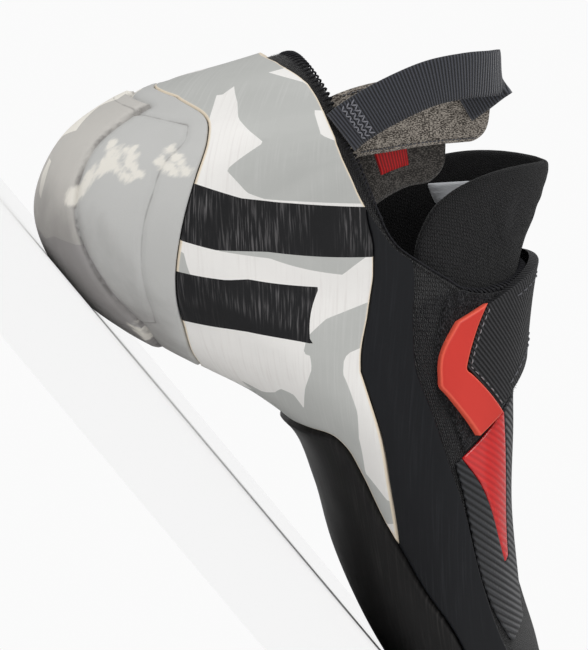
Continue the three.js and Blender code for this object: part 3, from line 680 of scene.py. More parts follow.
    # The outer face, rounded down at its rim and facing out
    edge = np.where(known >= 0, known, to_edge(place, turn))
    edge[edge < 0.08] = 0
    rounding = rim * (1 - np.sqrt(np.clip(1 - (1 - np.clip(edge / rim, 0, 1)) ** 2, 0, 1)))
    top = depth(place, turn, edge) if callable(depth) else np.full(len(place), float(depth))
    uv = np.stack([read(UV_ALONG, place, turn), read(UV_AROUND, place, turn)], 1) * UV_PER_MM
    points = on_last(place, turn, top - rounding)
    a, b, c = points[faces[:, 0]], points[faces[:, 1]], points[faces[:, 2]]
    out = on_last(place, turn, top + 1) - on_last(place, turn, top)
    facing = np.sum(np.cross(b - a, c - a) * out[faces[:, 0]], 1)
    faces[facing < 0] = faces[facing < 0][:, ::-1]
    # Side walls along the border, and an inner face where the piece is double
    sides = {}
    for f, slot in zip(faces, slots):
        for k in range(3):
            sides[(f[k], f[(k + 1) % 3])] = slot
    border = [(a, b) for a, b in sides if (b, a) not in sides]
    wall_slots = [sides[pair] for pair in border]
    count = len(points)
    all_faces = [tuple(f) for f in faces]
    fields = {"edge": edge, "place": place, "turn": turn}
    if double:
        points = np.concatenate([points, on_last(place, turn, inner + rounding)])
        all_faces += [(f[0] + count, f[2] + count, f[1] + count) for f in faces]
        all_faces += [(b, a, a + count, b + count) for a, b in border]
        uv = np.concatenate([uv, uv])
        fields = {key: np.concatenate([value, value]) for key, value in fields.items()}
    else:
        rimmed = sorted({a for pair in border for a in pair})
        place_of = {v: count + k for k, v in enumerate(rimmed)}
        points = np.concatenate([points, on_last(place[rimmed], turn[rimmed], inner)])
        all_faces += [(b, a, place_of[a], place_of[b]) for a, b in border]
        uv = np.concatenate([uv, uv[rimmed]])
        fields = {key: np.concatenate([value, value[rimmed]]) for key, value in fields.items()}
    thing = make_object(name, points, all_faces, uv, fields, from_top=centre != 0)
    slots = np.concatenate([slots, slots, wall_slots] if double else [slots, wall_slots]).astype(np.int32)
    thing.data.polygons.foreach_set("material_index", slots)
    return thing


TONGUE_CREASES = [
    ([(9.6, 0.86), (10.8, 0.875), (12.2, 0.9), (13.2, 0.93)], 2.6, 0.5),
    ([(9.5, 1.1), (10.9, 1.12), (12.4, 1.1)], 2.8, 0.5),
    ([(10.4, 0.76), (10.9, 0.9), (11.0, 1.05), (10.8, 1.2)], 2.4, -0.55),
    ([(11.6, 0.8), (12.1, 0.95), (12.1, 1.1)], 2.4, -0.4),
]
TONGUE = loop(over_top(TONGUE_EDGE))


def tongue_depth(place, turn, edge):
    """The tongue lies close under the upper, and swells and folds above it."""
    free = ramp(edge, 0, 4) * ramp(place, 9.6, 10.4)
    return -UPPER_WALL - GAP + free * (0.4 + creased(place, turn, TONGUE_CREASES))


tongue = skin("tongue", lambda p, t: inside(p, t, TONGUE), [TONGUE], tongue_depth,
              -UPPER_WALL - GAP - TONGUE_WALL, rim=1.15, pitch=1.8, centre=-1.0, double=True)
dress(tongue, knit("tongue_knit", paint(4, 4, 5), paint(21, 21, 23), 1.1, 0.35, 0.12))
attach(tongue, "root")
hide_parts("tongue")

# Label. The maker's size label inside the tongue, a pale satin ribbon with cut ends, heat-bonded to the
# lining. It is left bare here.
LABEL = [(10.95, 0.845), (12.55, 0.835), (12.6, 0.925), (11.0, 0.925)]
LABEL_DEPTH = -4.86
LABEL_WALL = 0.1

# Ribs: rounded ridges with a pitch in millimetres, turned by an angle. Height is 0 to 1.
RIB_PHASE = 628.3  # radians to a UV unit at a pitch of 1 mm
RIBS, group_in, group_out = make_group("ribs", {"Pitch": 1.0, "Angle": 0.0, "Wobble": 0.0}, "Height")
uv = node(RIBS, "ShaderNodeUVMap", uv_map="surface").outputs[0]
parts = node(RIBS, "ShaderNodeSeparateXYZ", {0: uv})
cosine = maths(RIBS, "COSINE", group_in.outputs["Angle"])
sine = maths(RIBS, "SINE", group_in.outputs["Angle"])
line = maths(RIBS, "ADD", maths(RIBS, "MULTIPLY", parts.outputs[0], cosine),
             maths(RIBS, "MULTIPLY", parts.outputs[1], sine))
noise = node(RIBS, "ShaderNodeTexNoise", {"Vector": uv, "Scale": 90.0, "Detail": 1.0}).outputs[0]
wobble = maths(RIBS, "MULTIPLY", maths(RIBS, "SUBTRACT", noise, 0.5), group_in.outputs["Wobble"])
steps = maths(RIBS, "DIVIDE", line, group_in.outputs["Pitch"])
turns = maths(RIBS, "ADD", maths(RIBS, "MULTIPLY", steps, RIB_PHASE), wobble)
height = maths(RIBS, "MULTIPLY_ADD", maths(RIBS, "SINE", turns), 0.5, 0.5)
RIBS.links.new(height, group_out.inputs["Height"])


def field(thing, name):
    """A value that a mesh keeps for each of its points."""
    return np.array([value.value for value in thing.data.attributes[name].data])


# The label faces inwards, so its points are moved to the tongue's inner face and its normals turned.
LABEL_CHAIN = resample(np.array(LABEL + LABEL[:1], float), 0.3)[:-1]
label = skin("tongue_label", lambda p, t: inside(p, t, LABEL_CHAIN), [LABEL_CHAIN], 4.8, 4.62, rim=0.1,
             pitch=1.6, centre=1.0)
label_depth = LABEL_DEPTH + LABEL_WALL * (field(label, "edge") <= 0)
label_spots = on_last(field(label, "place"), field(label, "turn"), label_depth)
for vertex, spot in zip(label.data.vertices, label_spots):
    vertex.co = spot * METRES
label.data.flip_normals()
cloth = start_material("label_cloth", paint(214, 216, 220), 0.75, Specular_IOR_Level=0.2)
relief(cloth[1], cloth[2], add_group(cloth[1], RIBS, Pitch=0.45, Angle=0.0, Wobble=0.3), 0.03)
dress(label, cloth[0])
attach(label, "root")

# Footbed. A thin fibre board covered in grey fabric, cut to the last's bottom and glued inside the shoe.
# It is seen only through the collar.
INSOLE_WALL = 1.6
INSOLE_EDGE = [
    (1.85, 0.2), (2.5, 0.31), (4, 0.34), (6, 0.32), (8, 0.26), (10, 0.24), (11.6, 0.27), (12.6, 0.24),
    (13.2, 0.1),
]


def both(rows):
    """Rows of one turn as a panel that is alike on both sides of the bottom centre."""
    return [(place, -edge, edge) for place, edge in rows]


INSOLE = loop(both(INSOLE_EDGE))
insole = skin("footbed", lambda p, t: inside(p, t, INSOLE), [INSOLE], -UPPER_WALL - GAP,
              -UPPER_WALL - GAP - INSOLE_WALL, rim=0.5, pitch=3.5, double=True)


def felt(name, dark, pale, share=0.5):
    """Pressed heather fibres: mixed dark and pale, matt and soft."""
    material, tree, shader = start_material(name, dark, 1.0, Specular_IOR_Level=0.1)
    shader.inputs["Sheen Weight"].default_value = 0.25
    fibre = add_group(tree, GRAIN, Size=0.3, Stretch=2.0, Detail=4.0)
    flock = add_group(tree, GRAIN, Size=2.0, Stretch=1.0, Detail=3.0)
    mixed = maths(tree, "ADD", maths(tree, "MULTIPLY", fibre, 0.75), maths(tree, "MULTIPLY", flock, 0.25))
    colour = blend(tree, band_pass(tree, mixed, 0.5 - 0.12 * share, 0.66 - 0.12 * share), dark, pale)
    tree.links.new(colour, shader.inputs["Base Color"])
    relief(tree, shader, mixed, 0.35)
    return material


dress(insole, felt("footbed_felt", paint(45, 46, 50), paint(72, 73, 78)))
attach(insole, "root")
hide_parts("insole")

# Outsole. A smooth black rubber half sole, glued on from the arch to the toe, rounded at its rear edge
# and ground flat where it meets the floor.
OUTSOLE_WALL = 3.6
SOLE_PANEL = [
    (0.55, -0.33, 0.33), (0.75, -0.39, 0.39), (1.0, -0.42, 0.42), (2.0, -0.45, 0.45), (3.0, -0.46, 0.46),
    (4.0, -0.46, 0.46), (5.0, -0.46, 0.45), (5.8, -0.44, 0.42), (6.5, -0.38, 0.37), (7.1, -0.325, 0.34),
    (7.7, -0.3, 0.27), (8.1, -0.295, 0.16), (8.35, -0.27, 0.04), (8.45, -0.18, -0.08),
]

# Streak: grinding marks of a width and length in millimetres. Value is 0 to 1.
STREAK, group_in, group_out = make_group("streak", {"Width": 0.8, "Length": 25.0, "Detail": 4.0}, "Value")
uv = node(STREAK, "ShaderNodeUVMap", uv_map="brush").outputs[0]
parts = node(STREAK, "ShaderNodeSeparateXYZ", {0: uv})
along = maths(STREAK, "DIVIDE", maths(STREAK, "MULTIPLY", parts.outputs[0], 1 / UV_PER_MM),
              group_in.outputs["Length"])
across = maths(STREAK, "DIVIDE", maths(STREAK, "MULTIPLY", parts.outputs[1], 1 / UV_PER_MM),
               group_in.outputs["Width"])
vector = node(STREAK, "ShaderNodeCombineXYZ", {0: along, 1: across}).outputs[0]
noise = node(STREAK, "ShaderNodeTexNoise",
             {"Vector": vector, "Scale": 1.0, "Detail": group_in.outputs["Detail"]})
STREAK.links.new(noise.outputs[0], group_out.inputs["Value"])


def named(tree, name):
    """A value that the piece's mesh keeps for each of its points."""
    return node(tree, "ShaderNodeAttribute", attribute_name=name).outputs["Fac"]


def rubber(name, colour, rough, streak=0.0, streak_colour=(0.1, 0.1, 0.1), grain=0.02, shade=0.9, rim=None,
           streak_width=0.6, streak_length=20.0, **more):
    """Moulded or sheet rubber: even colour, a fine ground grain, brushed streaks along the shoe."""
    material, tree, shader = start_material(name, colour, rough, **more)
    clouds = add_group(tree, GRAIN, Size=22.0, Stretch=1.6, Detail=4.0)
    base = blend(tree, band_pass(tree, clouds, 0.35, 0.68), colour, tuple(c * shade for c in colour))
    fine = add_group(tree, GRAIN, Size=0.55, Stretch=1.0, Detail=2.0)
    if streak:
        lines = add_group(tree, STREAK, Width=streak_width, Length=streak_length, Detail=5.0)
        patches = add_group(tree, GRAIN, Size=16.0, Stretch=2.2, Detail=2.0)
        worn = maths(tree, "MULTIPLY", band_pass(tree, lines, 0.47, 0.72),
                     band_pass(tree, patches, 0.32, 0.62))
        base = blend(tree, maths(tree, "MULTIPLY", worn, streak), base, streak_colour)
        relief(tree, shader, lines, 0.05)
    if rim:
        edge = named(tree, "edge")
        near = maths(tree, "SUBTRACT", 1.0, band_pass(tree, edge, 0.25, 0.75))
        base = blend(tree, near, base, rim)
    tree.links.new(base, shader.inputs["Base Color"])
    relief(tree, shader, fine, grain)
    return material


SOLE = loop(SOLE_PANEL)


def flatten_floor(thing):
    """Everything below the floor is brought up to it."""
    for vertex in thing.data.vertices:
        if vertex.co.z < 0:
            vertex.co.z = 0


outsole = skin("outsole", lambda p, t: inside(p, t, SOLE), [SOLE], GAP + OUTSOLE_WALL, GAP, rim=0.9,
               pitch=2.2)
flatten_floor(outsole)
dress(outsole, rubber("sole_rubber", paint(21, 20, 20), 0.5, streak=0.5, streak_colour=paint(60, 58, 57),
                      grain=0.03, Specular_IOR_Level=0.18))
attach(outsole, "root")
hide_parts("outsole")

# Heel cup. Moulded grey rubber over the heel, glued on: a raised centre pad that rests on the floor, lower
# pads beside it with grooves between, patches of paler and darker rubber and pale scuffs. Painted shade
# darkens the rubber along the grooves and towards the floor.
CUP_WALL = 2.3
PAD_RISE = 0.8
SIDE_PAD_RISE = 0.45
CUP_EDGE = [
    (9.8, 0.03), (10.05, 0.14), (10.6, 0.225), (11.3, 0.305), (12.1, 0.375), (13.0, 0.41), (14.0, 0.355),
    (14.9, 0.27), (15.5, 0.19), (15.8, 0.08),
]
PAD_EDGE = [
    (10.35, 0.03), (10.8, 0.13), (11.4, 0.19), (12.0, 0.19), (12.8, 0.165), (13.6, 0.12), (14.4, 0.09),
    (15.4, 0.075),
]

# Patches of the heel cup's centre pad, drawn over the whole pad's own grey. 0 is the cup's grey. The corners
# in the photo were picked and measured on to the last, and some were then moved.
PAD_GREY, PAD_WHITE, PAD_DARK = 1, 2, 3
WHOLE_PAD = [(place, -turn) for place, turn in PAD_EDGE] + PAD_EDGE[::-1]
PAD_MARKS = [
    ([(15.6, 0.03), (15.19, 0.0), (14.9, 0.03), (14.37, -0.015), (14.15, 0.03), (13.63, 0.055),
      (13.41, 0.05), (13.6, 0.08), (13.9, 0.12), (14.6, 0.1), (15.6, 0.08)], PAD_WHITE),
    ([(13.8, 0.01), (13.78, -0.01), (13.48, -0.025), (13.26, -0.03), (13.33, -0.01),
      (13.56, 0.01)], PAD_WHITE),
    ([(12.85, 0.0), (12.74, -0.05), (12.82, -0.09), (12.74, -0.17), (12.2, -0.2), (11.4, -0.2),
      (10.85, -0.15), (10.3, -0.05), (10.3, 0.05), (10.9, 0.1), (11.6, 0.04), (12.2, 0.02),
      (12.5, -0.02)], PAD_DARK),
    ([(12.3, 0.2), (12.5, 0.12), (12.2, 0.08), (11.7, 0.12), (11.3, 0.09), (11.0, 0.14),
      (11.4, 0.2)], PAD_DARK),
]
SCUFFS = [
    [(13.35, -0.125), (13.7, -0.14), (14.05, -0.16), (14.3, -0.165)],
    [(14.35, -0.13), (14.15, -0.15), (13.95, -0.19), (13.85, -0.22)],
    [(14.3, -0.185), (14.1, -0.2), (13.95, -0.235)],
    [(14.45, -0.25), (14.3, -0.28), (14.1, -0.325)],
    [(14.2, -0.26), (14.08, -0.3)],
    [(13.2, 0.2), (13.5, 0.24), (13.7, 0.23)],
    [(10.9, -0.14), (11.1, -0.155), (11.3, -0.165)],
]
SIDE_PAD_EDGE = [
    (11.3, 0.235), (11.7, 0.275), (12.3, 0.305), (12.9, 0.32), (13.5, 0.305), (14.1, 0.27), (14.7, 0.245),
    (15.15, 0.2),
]
CUP = loop(both(CUP_EDGE))
PAD = loop(both(PAD_EDGE))
SIDE_PAD = loop(both(SIDE_PAD_EDGE))
PAD_LINE = resample(np.concatenate([PAD, PAD[:1]]), 0.15)
SIDE_LINE = resample(np.concatenate([SIDE_PAD, SIDE_PAD[:1]]), 0.15)


def cup_depth(place, turn, edge):
    """The pads stand over the cup, with a groove along each one's border."""
    step = near_edge(place, turn, [PAD_LINE])
    on_pad = inside(place, turn, PAD)
    depth = GAP + CUP_WALL + np.where(on_pad, PAD_RISE * ramp(step, 0.1, 1.1), 0)
    groove = np.where(on_pad, 0, 0.9 * np.exp(-(step / 1.2) ** 2) + 0.3 * np.exp(-(step / 4.0) ** 2))
    side = near_edge(place, turn, [SIDE_LINE])
    on_side = inside(place, turn, SIDE_PAD) & ~on_pad
    depth = depth - groove + np.where(on_side, SIDE_PAD_RISE * ramp(side, 0, 1.2), 0)
    return depth - np.where(on_pad, 0, 0.4 * np.exp(-(side / 0.6) ** 2))


heel_cup = skin("heel_cup", lambda p, t: inside(p, t, CUP), [CUP], cup_depth, GAP, rim=0.8, pitch=1.05,
                marks=[(WHOLE_PAD, PAD_GREY)] + PAD_MARKS,
                lines=[(PAD_LINE, (0, 0.45, 1.0, 1.8, -0.5, -1.1, -1.9)),
                       (SIDE_LINE, (0, 0.5, 1.2, -0.5, -1.2))])
cup_place = field(heel_cup, "place")
cup_turn = field(heel_cup, "turn")
away = near_edge(cup_place, cup_turn, [resample(np.array(line), 0.4) for line in SCUFFS])
# A mask from each point's height: painted shade, the rubber darker towards the floor.
cup_height = on_last(cup_place, cup_turn, 2.0)[:, 2]
step = near_edge(cup_place, cup_turn, [PAD_LINE])
side = near_edge(cup_place, cup_turn, [SIDE_LINE])
# Painted shade along the grooves at the pads' borders, kept as the groove mask.
groove_shade = np.maximum(np.exp(-((step / 0.7) ** 2)), 0.95 * np.exp(-((side / 0.5) ** 2)))
for mask_name, values in (("groove", groove_shade), ("scuff", np.clip(1 - away / 3.4, 0, 1)),
                          ("floor_shade", 1 - ramp(cup_height, 3, 26))):
    mask = heel_cup.data.attributes.new(mask_name, "FLOAT", "POINT")
    mask.data.foreach_set("value", values.astype(np.float32))
flatten_floor(heel_cup)


def wear_and_shade(material, mask_name, colour, low=0.35, high=0.6, size=3.2, most=1.0):
    """Adds scuffs and painted shade over a material's colour where the piece's own mask says so."""
    tree = material.node_tree
    shader = tree.nodes["Principled BSDF"]
    rough_edge = add_group(tree, GRAIN, Size=size, Stretch=2.2, Detail=7.0)
    mask = maths(tree, "ADD", named(tree, mask_name),
                 maths(tree, "MULTIPLY", maths(tree, "SUBTRACT", rough_edge, 0.5), 1.6))
    share = maths(tree, "MULTIPLY", band_pass(tree, mask, low, high), most)
    base = shader.inputs["Base Color"].links[0].from_socket
    tree.links.new(blend(tree, share, base, colour), shader.inputs["Base Color"])


cup = rubber("cup_rubber", paint(187, 187, 185), 0.6, grain=0.05, shade=0.95)
pad_mid = rubber("pad_grey_rubber", paint(190, 187, 182), 0.6, grain=0.06, shade=0.95)
pad_white = rubber("pad_white_rubber", paint(233, 229, 220), 0.6, grain=0.05, shade=0.96)
pad_dark = rubber("pad_dark_rubber", paint(163, 160, 160), 0.6, grain=0.06, shade=0.94)
for material in (cup, pad_mid, pad_white, pad_dark):
    # painted shade: the rubber darker towards the floor
    wear_and_shade(material, "floor_shade", paint(139, 136, 134), 0.2, 1.3, size=9, most=0.75)
    # painted shade: a darker line along the grooves
    wear_and_shade(material, "groove", paint(122, 119, 117), 0.5, 1.3, size=5, most=0.8)
    wear_and_shade(material, "scuff", paint(229, 225, 216), 0.35, 0.85, size=2.0, most=0.85)
dress(heel_cup, cup, pad_mid, pad_white, pad_dark)
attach(heel_cup, "root")
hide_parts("heel_cup")

# Heel band. A rubber sheet that tensions the shoe, pulled round the heel, down both sides and under the
# arch and glued down. It is moulded in patches of white and grey with two plain black bars, then buffed.
# Its cut edges show cream.
RAND_WALL = 2.0
KNIT_EDGE = 2.6
BAND_EDGE = [
    (6.6, 0.345), (7.1, 0.365), (7.7, 0.388), (8.5, 0.44), (9.3, 0.515), (10.2, 0.6), (11.3, 0.665),
    (12.4, 0.69), (13.7, 0.66), (15.0, 0.575), (16.1, 0.45), (16.8, 0.33), (17.4, 0.18), (17.6, 0.07),
]

# Patches of the heel band. WHITE is the band's own colour. The outer side comes first, found in the same way
# as the centre pad's patches. The inner side, which the photo hides, is made up.
WHITE, GREY, BLACK = 0, 1, 2
BAND_MARKS = [
    ([(17.9, -0.12), (16.9, -0.1), (16.2, -0.14), (15.7, -0.05), (15.9, 0.06), (16.6, 0.03), (17.2, 0.12),
      (17.9, 0.08)], GREY),
    ([(17.2, -0.02), (16.0, -0.15), (15.3, -0.225), (14.67, -0.283), (13.9, -0.37), (13.7, -0.3),
      (14.4, -0.2), (15.2, -0.1), (15.9, -0.02)], GREY),
    ([(17.2, -0.02), (16.1, -0.19), (15.63, -0.25), (15.33, -0.308), (15.04, -0.375), (14.2, -0.4),
      (13.6, -0.53), (13.3, -0.72), (14.6, -0.68), (15.4, -0.5), (15.56, -0.44), (16.44, -0.325),
      (16.6, -0.36), (17.3, -0.2)], GREY),
    ([(13.19, -0.5), (13.26, -0.55), (12.6, -0.62), (11.9, -0.68), (11.5, -0.63), (12.3, -0.56),
      (12.6, -0.5)], GREY),
    ([(12.95, -0.36), (12.6, -0.42), (12.15, -0.42), (11.85, -0.46), (11.7, -0.4), (11.3, -0.33),
      (11.2, -0.26), (12.0, -0.33)], GREY),
    ([(9.78, 0.02), (9.95, -0.05), (9.6, -0.06), (10.0, -0.117), (9.75, -0.1), (9.34, -0.08),
      (9.5, -0.142), (9.34, -0.15), (9.34, -0.175), (9.65, -0.217), (9.34, -0.225), (9.3, -0.26),
      (9.36, -0.29), (9.19, -0.3), (8.87, -0.28), (9.26, -0.35), (9.56, -0.417), (9.8, -0.45),
      (9.9, -0.445), (10.15, -0.492), (10.45, -0.55), (10.5, -0.62), (10.2, -0.66), (9.5, -0.6),
      (9.56, -0.54), (9.56, -0.515), (9.25, -0.46), (8.59, -0.405), (8.22, -0.36), (7.71, -0.32),
      (7.34, -0.36), (7.2, -0.42), (6.95, -0.37), (7.19, -0.27), (7.4, -0.2), (7.5, 0.0), (7.5, 0.26),
      (8.2, 0.28), (9.0, 0.18), (9.5, 0.1)], GREY),
    ([(9.26, -0.02), (9.26, -0.05), (8.96, -0.03), (8.74, 0.0), (8.42, -0.01), (8.37, 0.01), (8.67, 0.03),
      (9.04, 0.015)], WHITE),
    ([(8.6, -0.07), (8.37, -0.05), (8.15, 0.06), (8.45, -0.02)], WHITE),
    ([(9.26, 0.083), (9.26, 0.045), (8.9, 0.1), (8.6, 0.15), (8.15, 0.2), (8.0, 0.26), (8.5, 0.21),
      (9.0, 0.17)], WHITE),
    ([(8.1, 0.17), (7.9, 0.2), (7.6, 0.25), (7.8, 0.27)], WHITE),
    ([(7.19, -0.25), (7.06, -0.32), (7.04, -0.42), (6.88, -0.42), (6.85, -0.25)], WHITE),
    ([(6.88, -0.42), (6.85, -0.25), (6.4, -0.25), (6.4, -0.42)], GREY),
    ([(16.7, 0.07), (16.4, 0.16), (16.0, 0.12), (15.6, 0.22), (15.0, 0.3), (14.4, 0.31), (14.2, 0.42),
      (13.8, 0.36), (13.4, 0.47), (12.9, 0.42), (13.2, 0.35), (14.3, 0.24), (15.3, 0.12),
      (15.7, 0.04)], GREY),
    ([(15.2, 0.62), (14.6, 0.48), (14.0, 0.55), (13.5, 0.5), (12.9, 0.6), (12.3, 0.52), (11.9, 0.62),
      (12.4, 0.74), (14.0, 0.72)], GREY),
    ([(12.3, 0.36), (12.0, 0.45), (11.5, 0.42), (11.2, 0.52), (10.7, 0.47), (10.4, 0.56), (10.0, 0.5),
      (9.7, 0.42), (9.9, 0.33), (9.4, 0.3), (9.3, 0.2), (9.9, 0.12), (10.5, 0.2), (11.4, 0.3)], GREY),
    ([(9.3, 0.56), (9.0, 0.38), (8.6, 0.42), (8.3, 0.3), (7.9, 0.34), (7.7, 0.27), (7.2, 0.4),
      (7.9, 0.46), (8.6, 0.5)], GREY),
    ([(13.95, -0.32), (13.56, -0.533), (13.15, -0.74), (11.6, -0.72), (12.45, -0.558),
      (13.0, -0.35)], BLACK),
    ([(12.45, -0.34), (11.93, -0.525), (11.33, -0.59), (10.0, -0.49), (10.74, -0.408),
      (11.65, -0.25)], BLACK),
]
BAND = loop(both(BAND_EDGE))
CUP_ROOM = loop(both(CUP_EDGE), grow=GAP)
SOLE_ROOM = loop(SOLE_PANEL, grow=GAP)


def collar_chain(drop):
    """The collar's edge as a chain, lowered by a length."""
    turns = np.linspace(-1, 1, 900)
    place = collar_at(turns)
    per_place = np.linalg.norm(read(ALONG, place, turns), axis=1)
    return np.stack([smooth_round(place - drop / np.maximum(per_place, 4), 9), turns], 1)


def under_chain(chain):
    """A test of whether places lie below a chain that runs round the shoe."""
    return lambda place, turn: place < np.interp(wrap(turn, 0.0), chain[:, 1], chain[:, 0])


RUBBER_EDGE = collar_chain(KNIT_EDGE)
PATCH_EDGE = collar_chain(0.4)
below_rubber = under_chain(RUBBER_EDGE)
below_collar = under_chain(PATCH_EDGE)


def on_band(place, turn):
    """The band's own part of the last, clear of the cup, the sole and the knit edge."""
    free = inside(place, turn, BAND) & ~inside(place, turn, CUP_ROOM) & ~inside(place, turn, SOLE_ROOM)
    return free & below_rubber(place, turn)


def band_depth(place, turn, edge):
    return GAP + RAND_WALL + ramp(edge, 0, 3) * creased(place, turn, BAND_CREASES)


BAND_CREASES = [
    ([(9.0, -0.3), (9.9, -0.36), (10.8, -0.37)], 3.0, -0.35),
    ([(8.4, -0.2), (9.3, -0.22), (10.2, -0.27)], 3.4, 0.35),
    ([(12.6, -0.56), (13.6, -0.55), (14.6, -0.5)], 2.6, 0.3),
    ([(9.0, 0.32), (9.9, 0.37), (10.8, 0.38)], 3.0, -0.35),
    ([(15.6, -0.3), (15.9, -0.1), (15.9, 0.1), (15.6, 0.3)], 3.2, -0.35),
]
heel_band = skin("heel_band", on_band, [BAND, CUP_ROOM, SOLE_ROOM, RUBBER_EDGE], band_depth, GAP, rim=0.45,
                 pitch=1.9, marks=BAND_MARKS)
EDGE_CREAM = paint(226, 212, 190)
white = rubber("band_white", paint(231, 229, 226), 0.55, streak=0.35, streak_colour=paint(206, 201, 198),
               shade=0.95, rim=EDGE_CREAM)
grey = rubber("band_grey", paint(180, 181, 178), 0.55, streak=0.3, streak_colour=paint(196, 196, 194),
              shade=0.94, rim=EDGE_CREAM)
black = rubber("band_black", paint(22, 22, 24), 0.5, streak=0.85, streak_colour=paint(104, 102, 103),
               shade=0.8, grain=0.05, streak_width=0.42, streak_length=9.0, Specular_IOR_Level=0.2)
dress(heel_band, white, grey, black)
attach(heel_band, "root")
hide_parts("heel_band")

# Side rand. A bluish black rubber sheet, stretched over the upper's lower edge and glued along both sides
# and over the toe. It ends under the heel band and the outsole.
OPEN_EDGE = [
    (2.55, 0.97), (2.75, 0.82), (3.3, 0.68), (4.2, 0.6), (5.2, 0.56), (6.6, 0.545), (7.6, 0.54),
    (8.6, 0.57), (9.5, 0.635), (10.6, 0.7), (11.8, 0.73), (13.2, 0.725), (15.0, 0.62),
]
OPEN = loop(over_top(OPEN_EDGE + [(18.0, 0.02)]))
BAND_ROOM = loop(both(BAND_EDGE), grow=GAP)


def on_rand(place, turn):
    """All the rubber in front of the heel that the band and the sole leave."""
    free = ~inside(place, turn, OPEN) & ~inside(place, turn, BAND_ROOM) & ~inside(place, turn, SOLE_ROOM)
    return free & (place < 13.2) & below_rubber(place, turn)


# The edge of a layer below shows through as a low curved ridge on both sides. It was measured in the photo.
RAND_RIDGE = [
    (9.35, 0.555), (8.82, 0.515), (8.37, 0.475), (8.0, 0.45), (7.6, 0.435), (7.34, 0.4), (7.05, 0.35),
]
OUTER_RIDGE = [(place, -turn) for place, turn in RAND_RIDGE]
RAND_CREASES = [(RAND_RIDGE, 1.4, 0.5), (OUTER_RIDGE, 1.4, 0.5)]


def rand_depth(place, turn, edge):
    return GAP + RAND_WALL + ramp(edge, 0, 2) * creased(place, turn, RAND_CREASES)


side_rand = skin("side_rand", on_rand, [OPEN, BAND_ROOM, SOLE_ROOM, RUBBER_EDGE], rand_depth, GAP, rim=0.6,
                 pitch=1.5, centre=1.0)
dress(side_rand, rubber("rand_rubber", paint(23, 24, 27), 0.46, streak=0.2, streak_colour=paint(56, 58, 62),
                        Specular_IOR_Level=0.15))
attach(side_rand, "root")
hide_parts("side_rand")

# Landing patch. A sheet of black looped pile sewn flat on the outer side and over the instep, which the
# strap's hooks grip. Its loops are worn and fuzzy.
PATCH_WALL = 0.9
LOOP_PANEL = [
    (7.35, -1.28, -0.585), (8.0, -1.31, -0.588), (8.6, -1.31, -0.615), (9.3, -1.25, -0.68),
    (9.75, -1.1, -0.72),
]
LOOP = loop(LOOP_PANEL)
loop_patch = skin("landing_patch", lambda p, t: inside(p, t, LOOP) & below_collar(p, t), [LOOP, PATCH_EDGE],
                  GAP + PATCH_WALL, GAP, rim=0.4, pitch=1.6, centre=-1.0)
dress(loop_patch, felt("pile", paint(10, 10, 11), paint(62, 62, 64), share=0.25))
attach(loop_patch, "root")
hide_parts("loop_patch")

# Red overlay. A glossy red film with fine slanted ridges, heat-welded on in front of the strap, a long
# wedge that narrows towards the toe.
RED_PANEL = [(5.75, -0.67, -0.65), (6.3, -0.7, -0.635), (6.8, -0.715, -0.61), (7.3, -0.73, -0.575)]
LOOP_ROOM = loop(LOOP_PANEL, grow=GAP)
RED = loop(RED_PANEL)
red_overlay = skin("red_film", lambda p, t: inside(p, t, RED) & ~inside(p, t, LOOP_ROOM), [RED, LOOP_ROOM],
                   GAP + PATCH_WALL, GAP, rim=0.3, pitch=1.4, centre=-1.0)


def ribbed(name, low, high, pitch, angle, height, rough, wobble=0.6, **more):
    """Ridged film or woven ribs."""
    material, tree, shader = start_material(name, high, rough, **more)
    rise = add_group(tree, RIBS, Pitch=pitch, Angle=angle, Wobble=wobble)
    fine = add_group(tree, GRAIN, Size=0.35, Stretch=1.0, Detail=2.0)
    # The crests take the high colour and the troughs the low one: painted highlight on the crests and
    # painted shade in the troughs.
    colour = blend(tree, rise, low, high)
    tree.links.new(colour, shader.inputs["Base Color"])
    relief(tree, shader, rise, height)
    relief(tree, shader, fine, 0.03)
    return material


dress(red_overlay, ribbed("red_film", paint(180, 19, 20), paint(205, 32, 30), 1.3, -0.95, 0.05, 0.25,
                          Coat_Weight=0.35, Coat_Roughness=0.15))
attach(red_overlay, "root")
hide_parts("red_overlay")

# Ribbed overlay. A black film with slanted moulded ribs, heat-welded on along the outer side and cut out
# where the red one lies.
RIB_PANEL = [(4.9, -0.68, -0.6), (5.6, -0.74, -0.565), (6.4, -0.77, -0.555), (7.3, -0.79, -0.555)]
RIB = loop(RIB_PANEL)
RED_ROOM = loop(RED_PANEL, grow=GAP)


def on_ribbed(place, turn):
    """The ribbed film's own part of the last, clear of the landing patch and the red film."""
    return inside(place, turn, RIB) & ~inside(place, turn, LOOP_ROOM) & ~inside(place, turn, RED_ROOM)


ribbed_overlay = skin("ribbed_film", on_ribbed, [RIB, LOOP_ROOM, RED_ROOM], GAP + PATCH_WALL, GAP, rim=0.3,
                      pitch=1.4, centre=-1.0)
dress(ribbed_overlay, ribbed("ribbed_film", paint(10, 10, 12), paint(54, 55, 58), 1.3, -0.95, 0.35, 0.4))
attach(ribbed_overlay, "root")
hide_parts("ribbed_overlay")

# Strap. A stiff cover of ribbed synthetic over hook tape, sewn down at its inner end and pulled over the
# instep, with a row of stitches along both edges and round the grip at its free end.
STRAP_WALL = 1.8
STRAP_PANEL = [
    (7.5, -1.35, -0.66), (7.9, -1.36, -0.625), (8.35, -1.36, -0.62), (8.8, -1.35, -0.66),
    (9.1, -1.32, -0.72),
]
TIP_PANEL = [
    (7.42, -0.7, -0.62), (7.9, -0.673, -0.6), (8.2, -0.659, -0.592), (8.3, -0.655, -0.59),
    (8.4, -0.666, -0.596), (8.75, -0.716, -0.632), (9.14, -0.77, -0.7),
]
STRAP_FLOOR = GAP + PATCH_WALL + GAP
STRAP = loop(STRAP_PANEL)
TIP = loop(TIP_PANEL)
TIP_ROOM = loop(TIP_PANEL, grow=GAP)


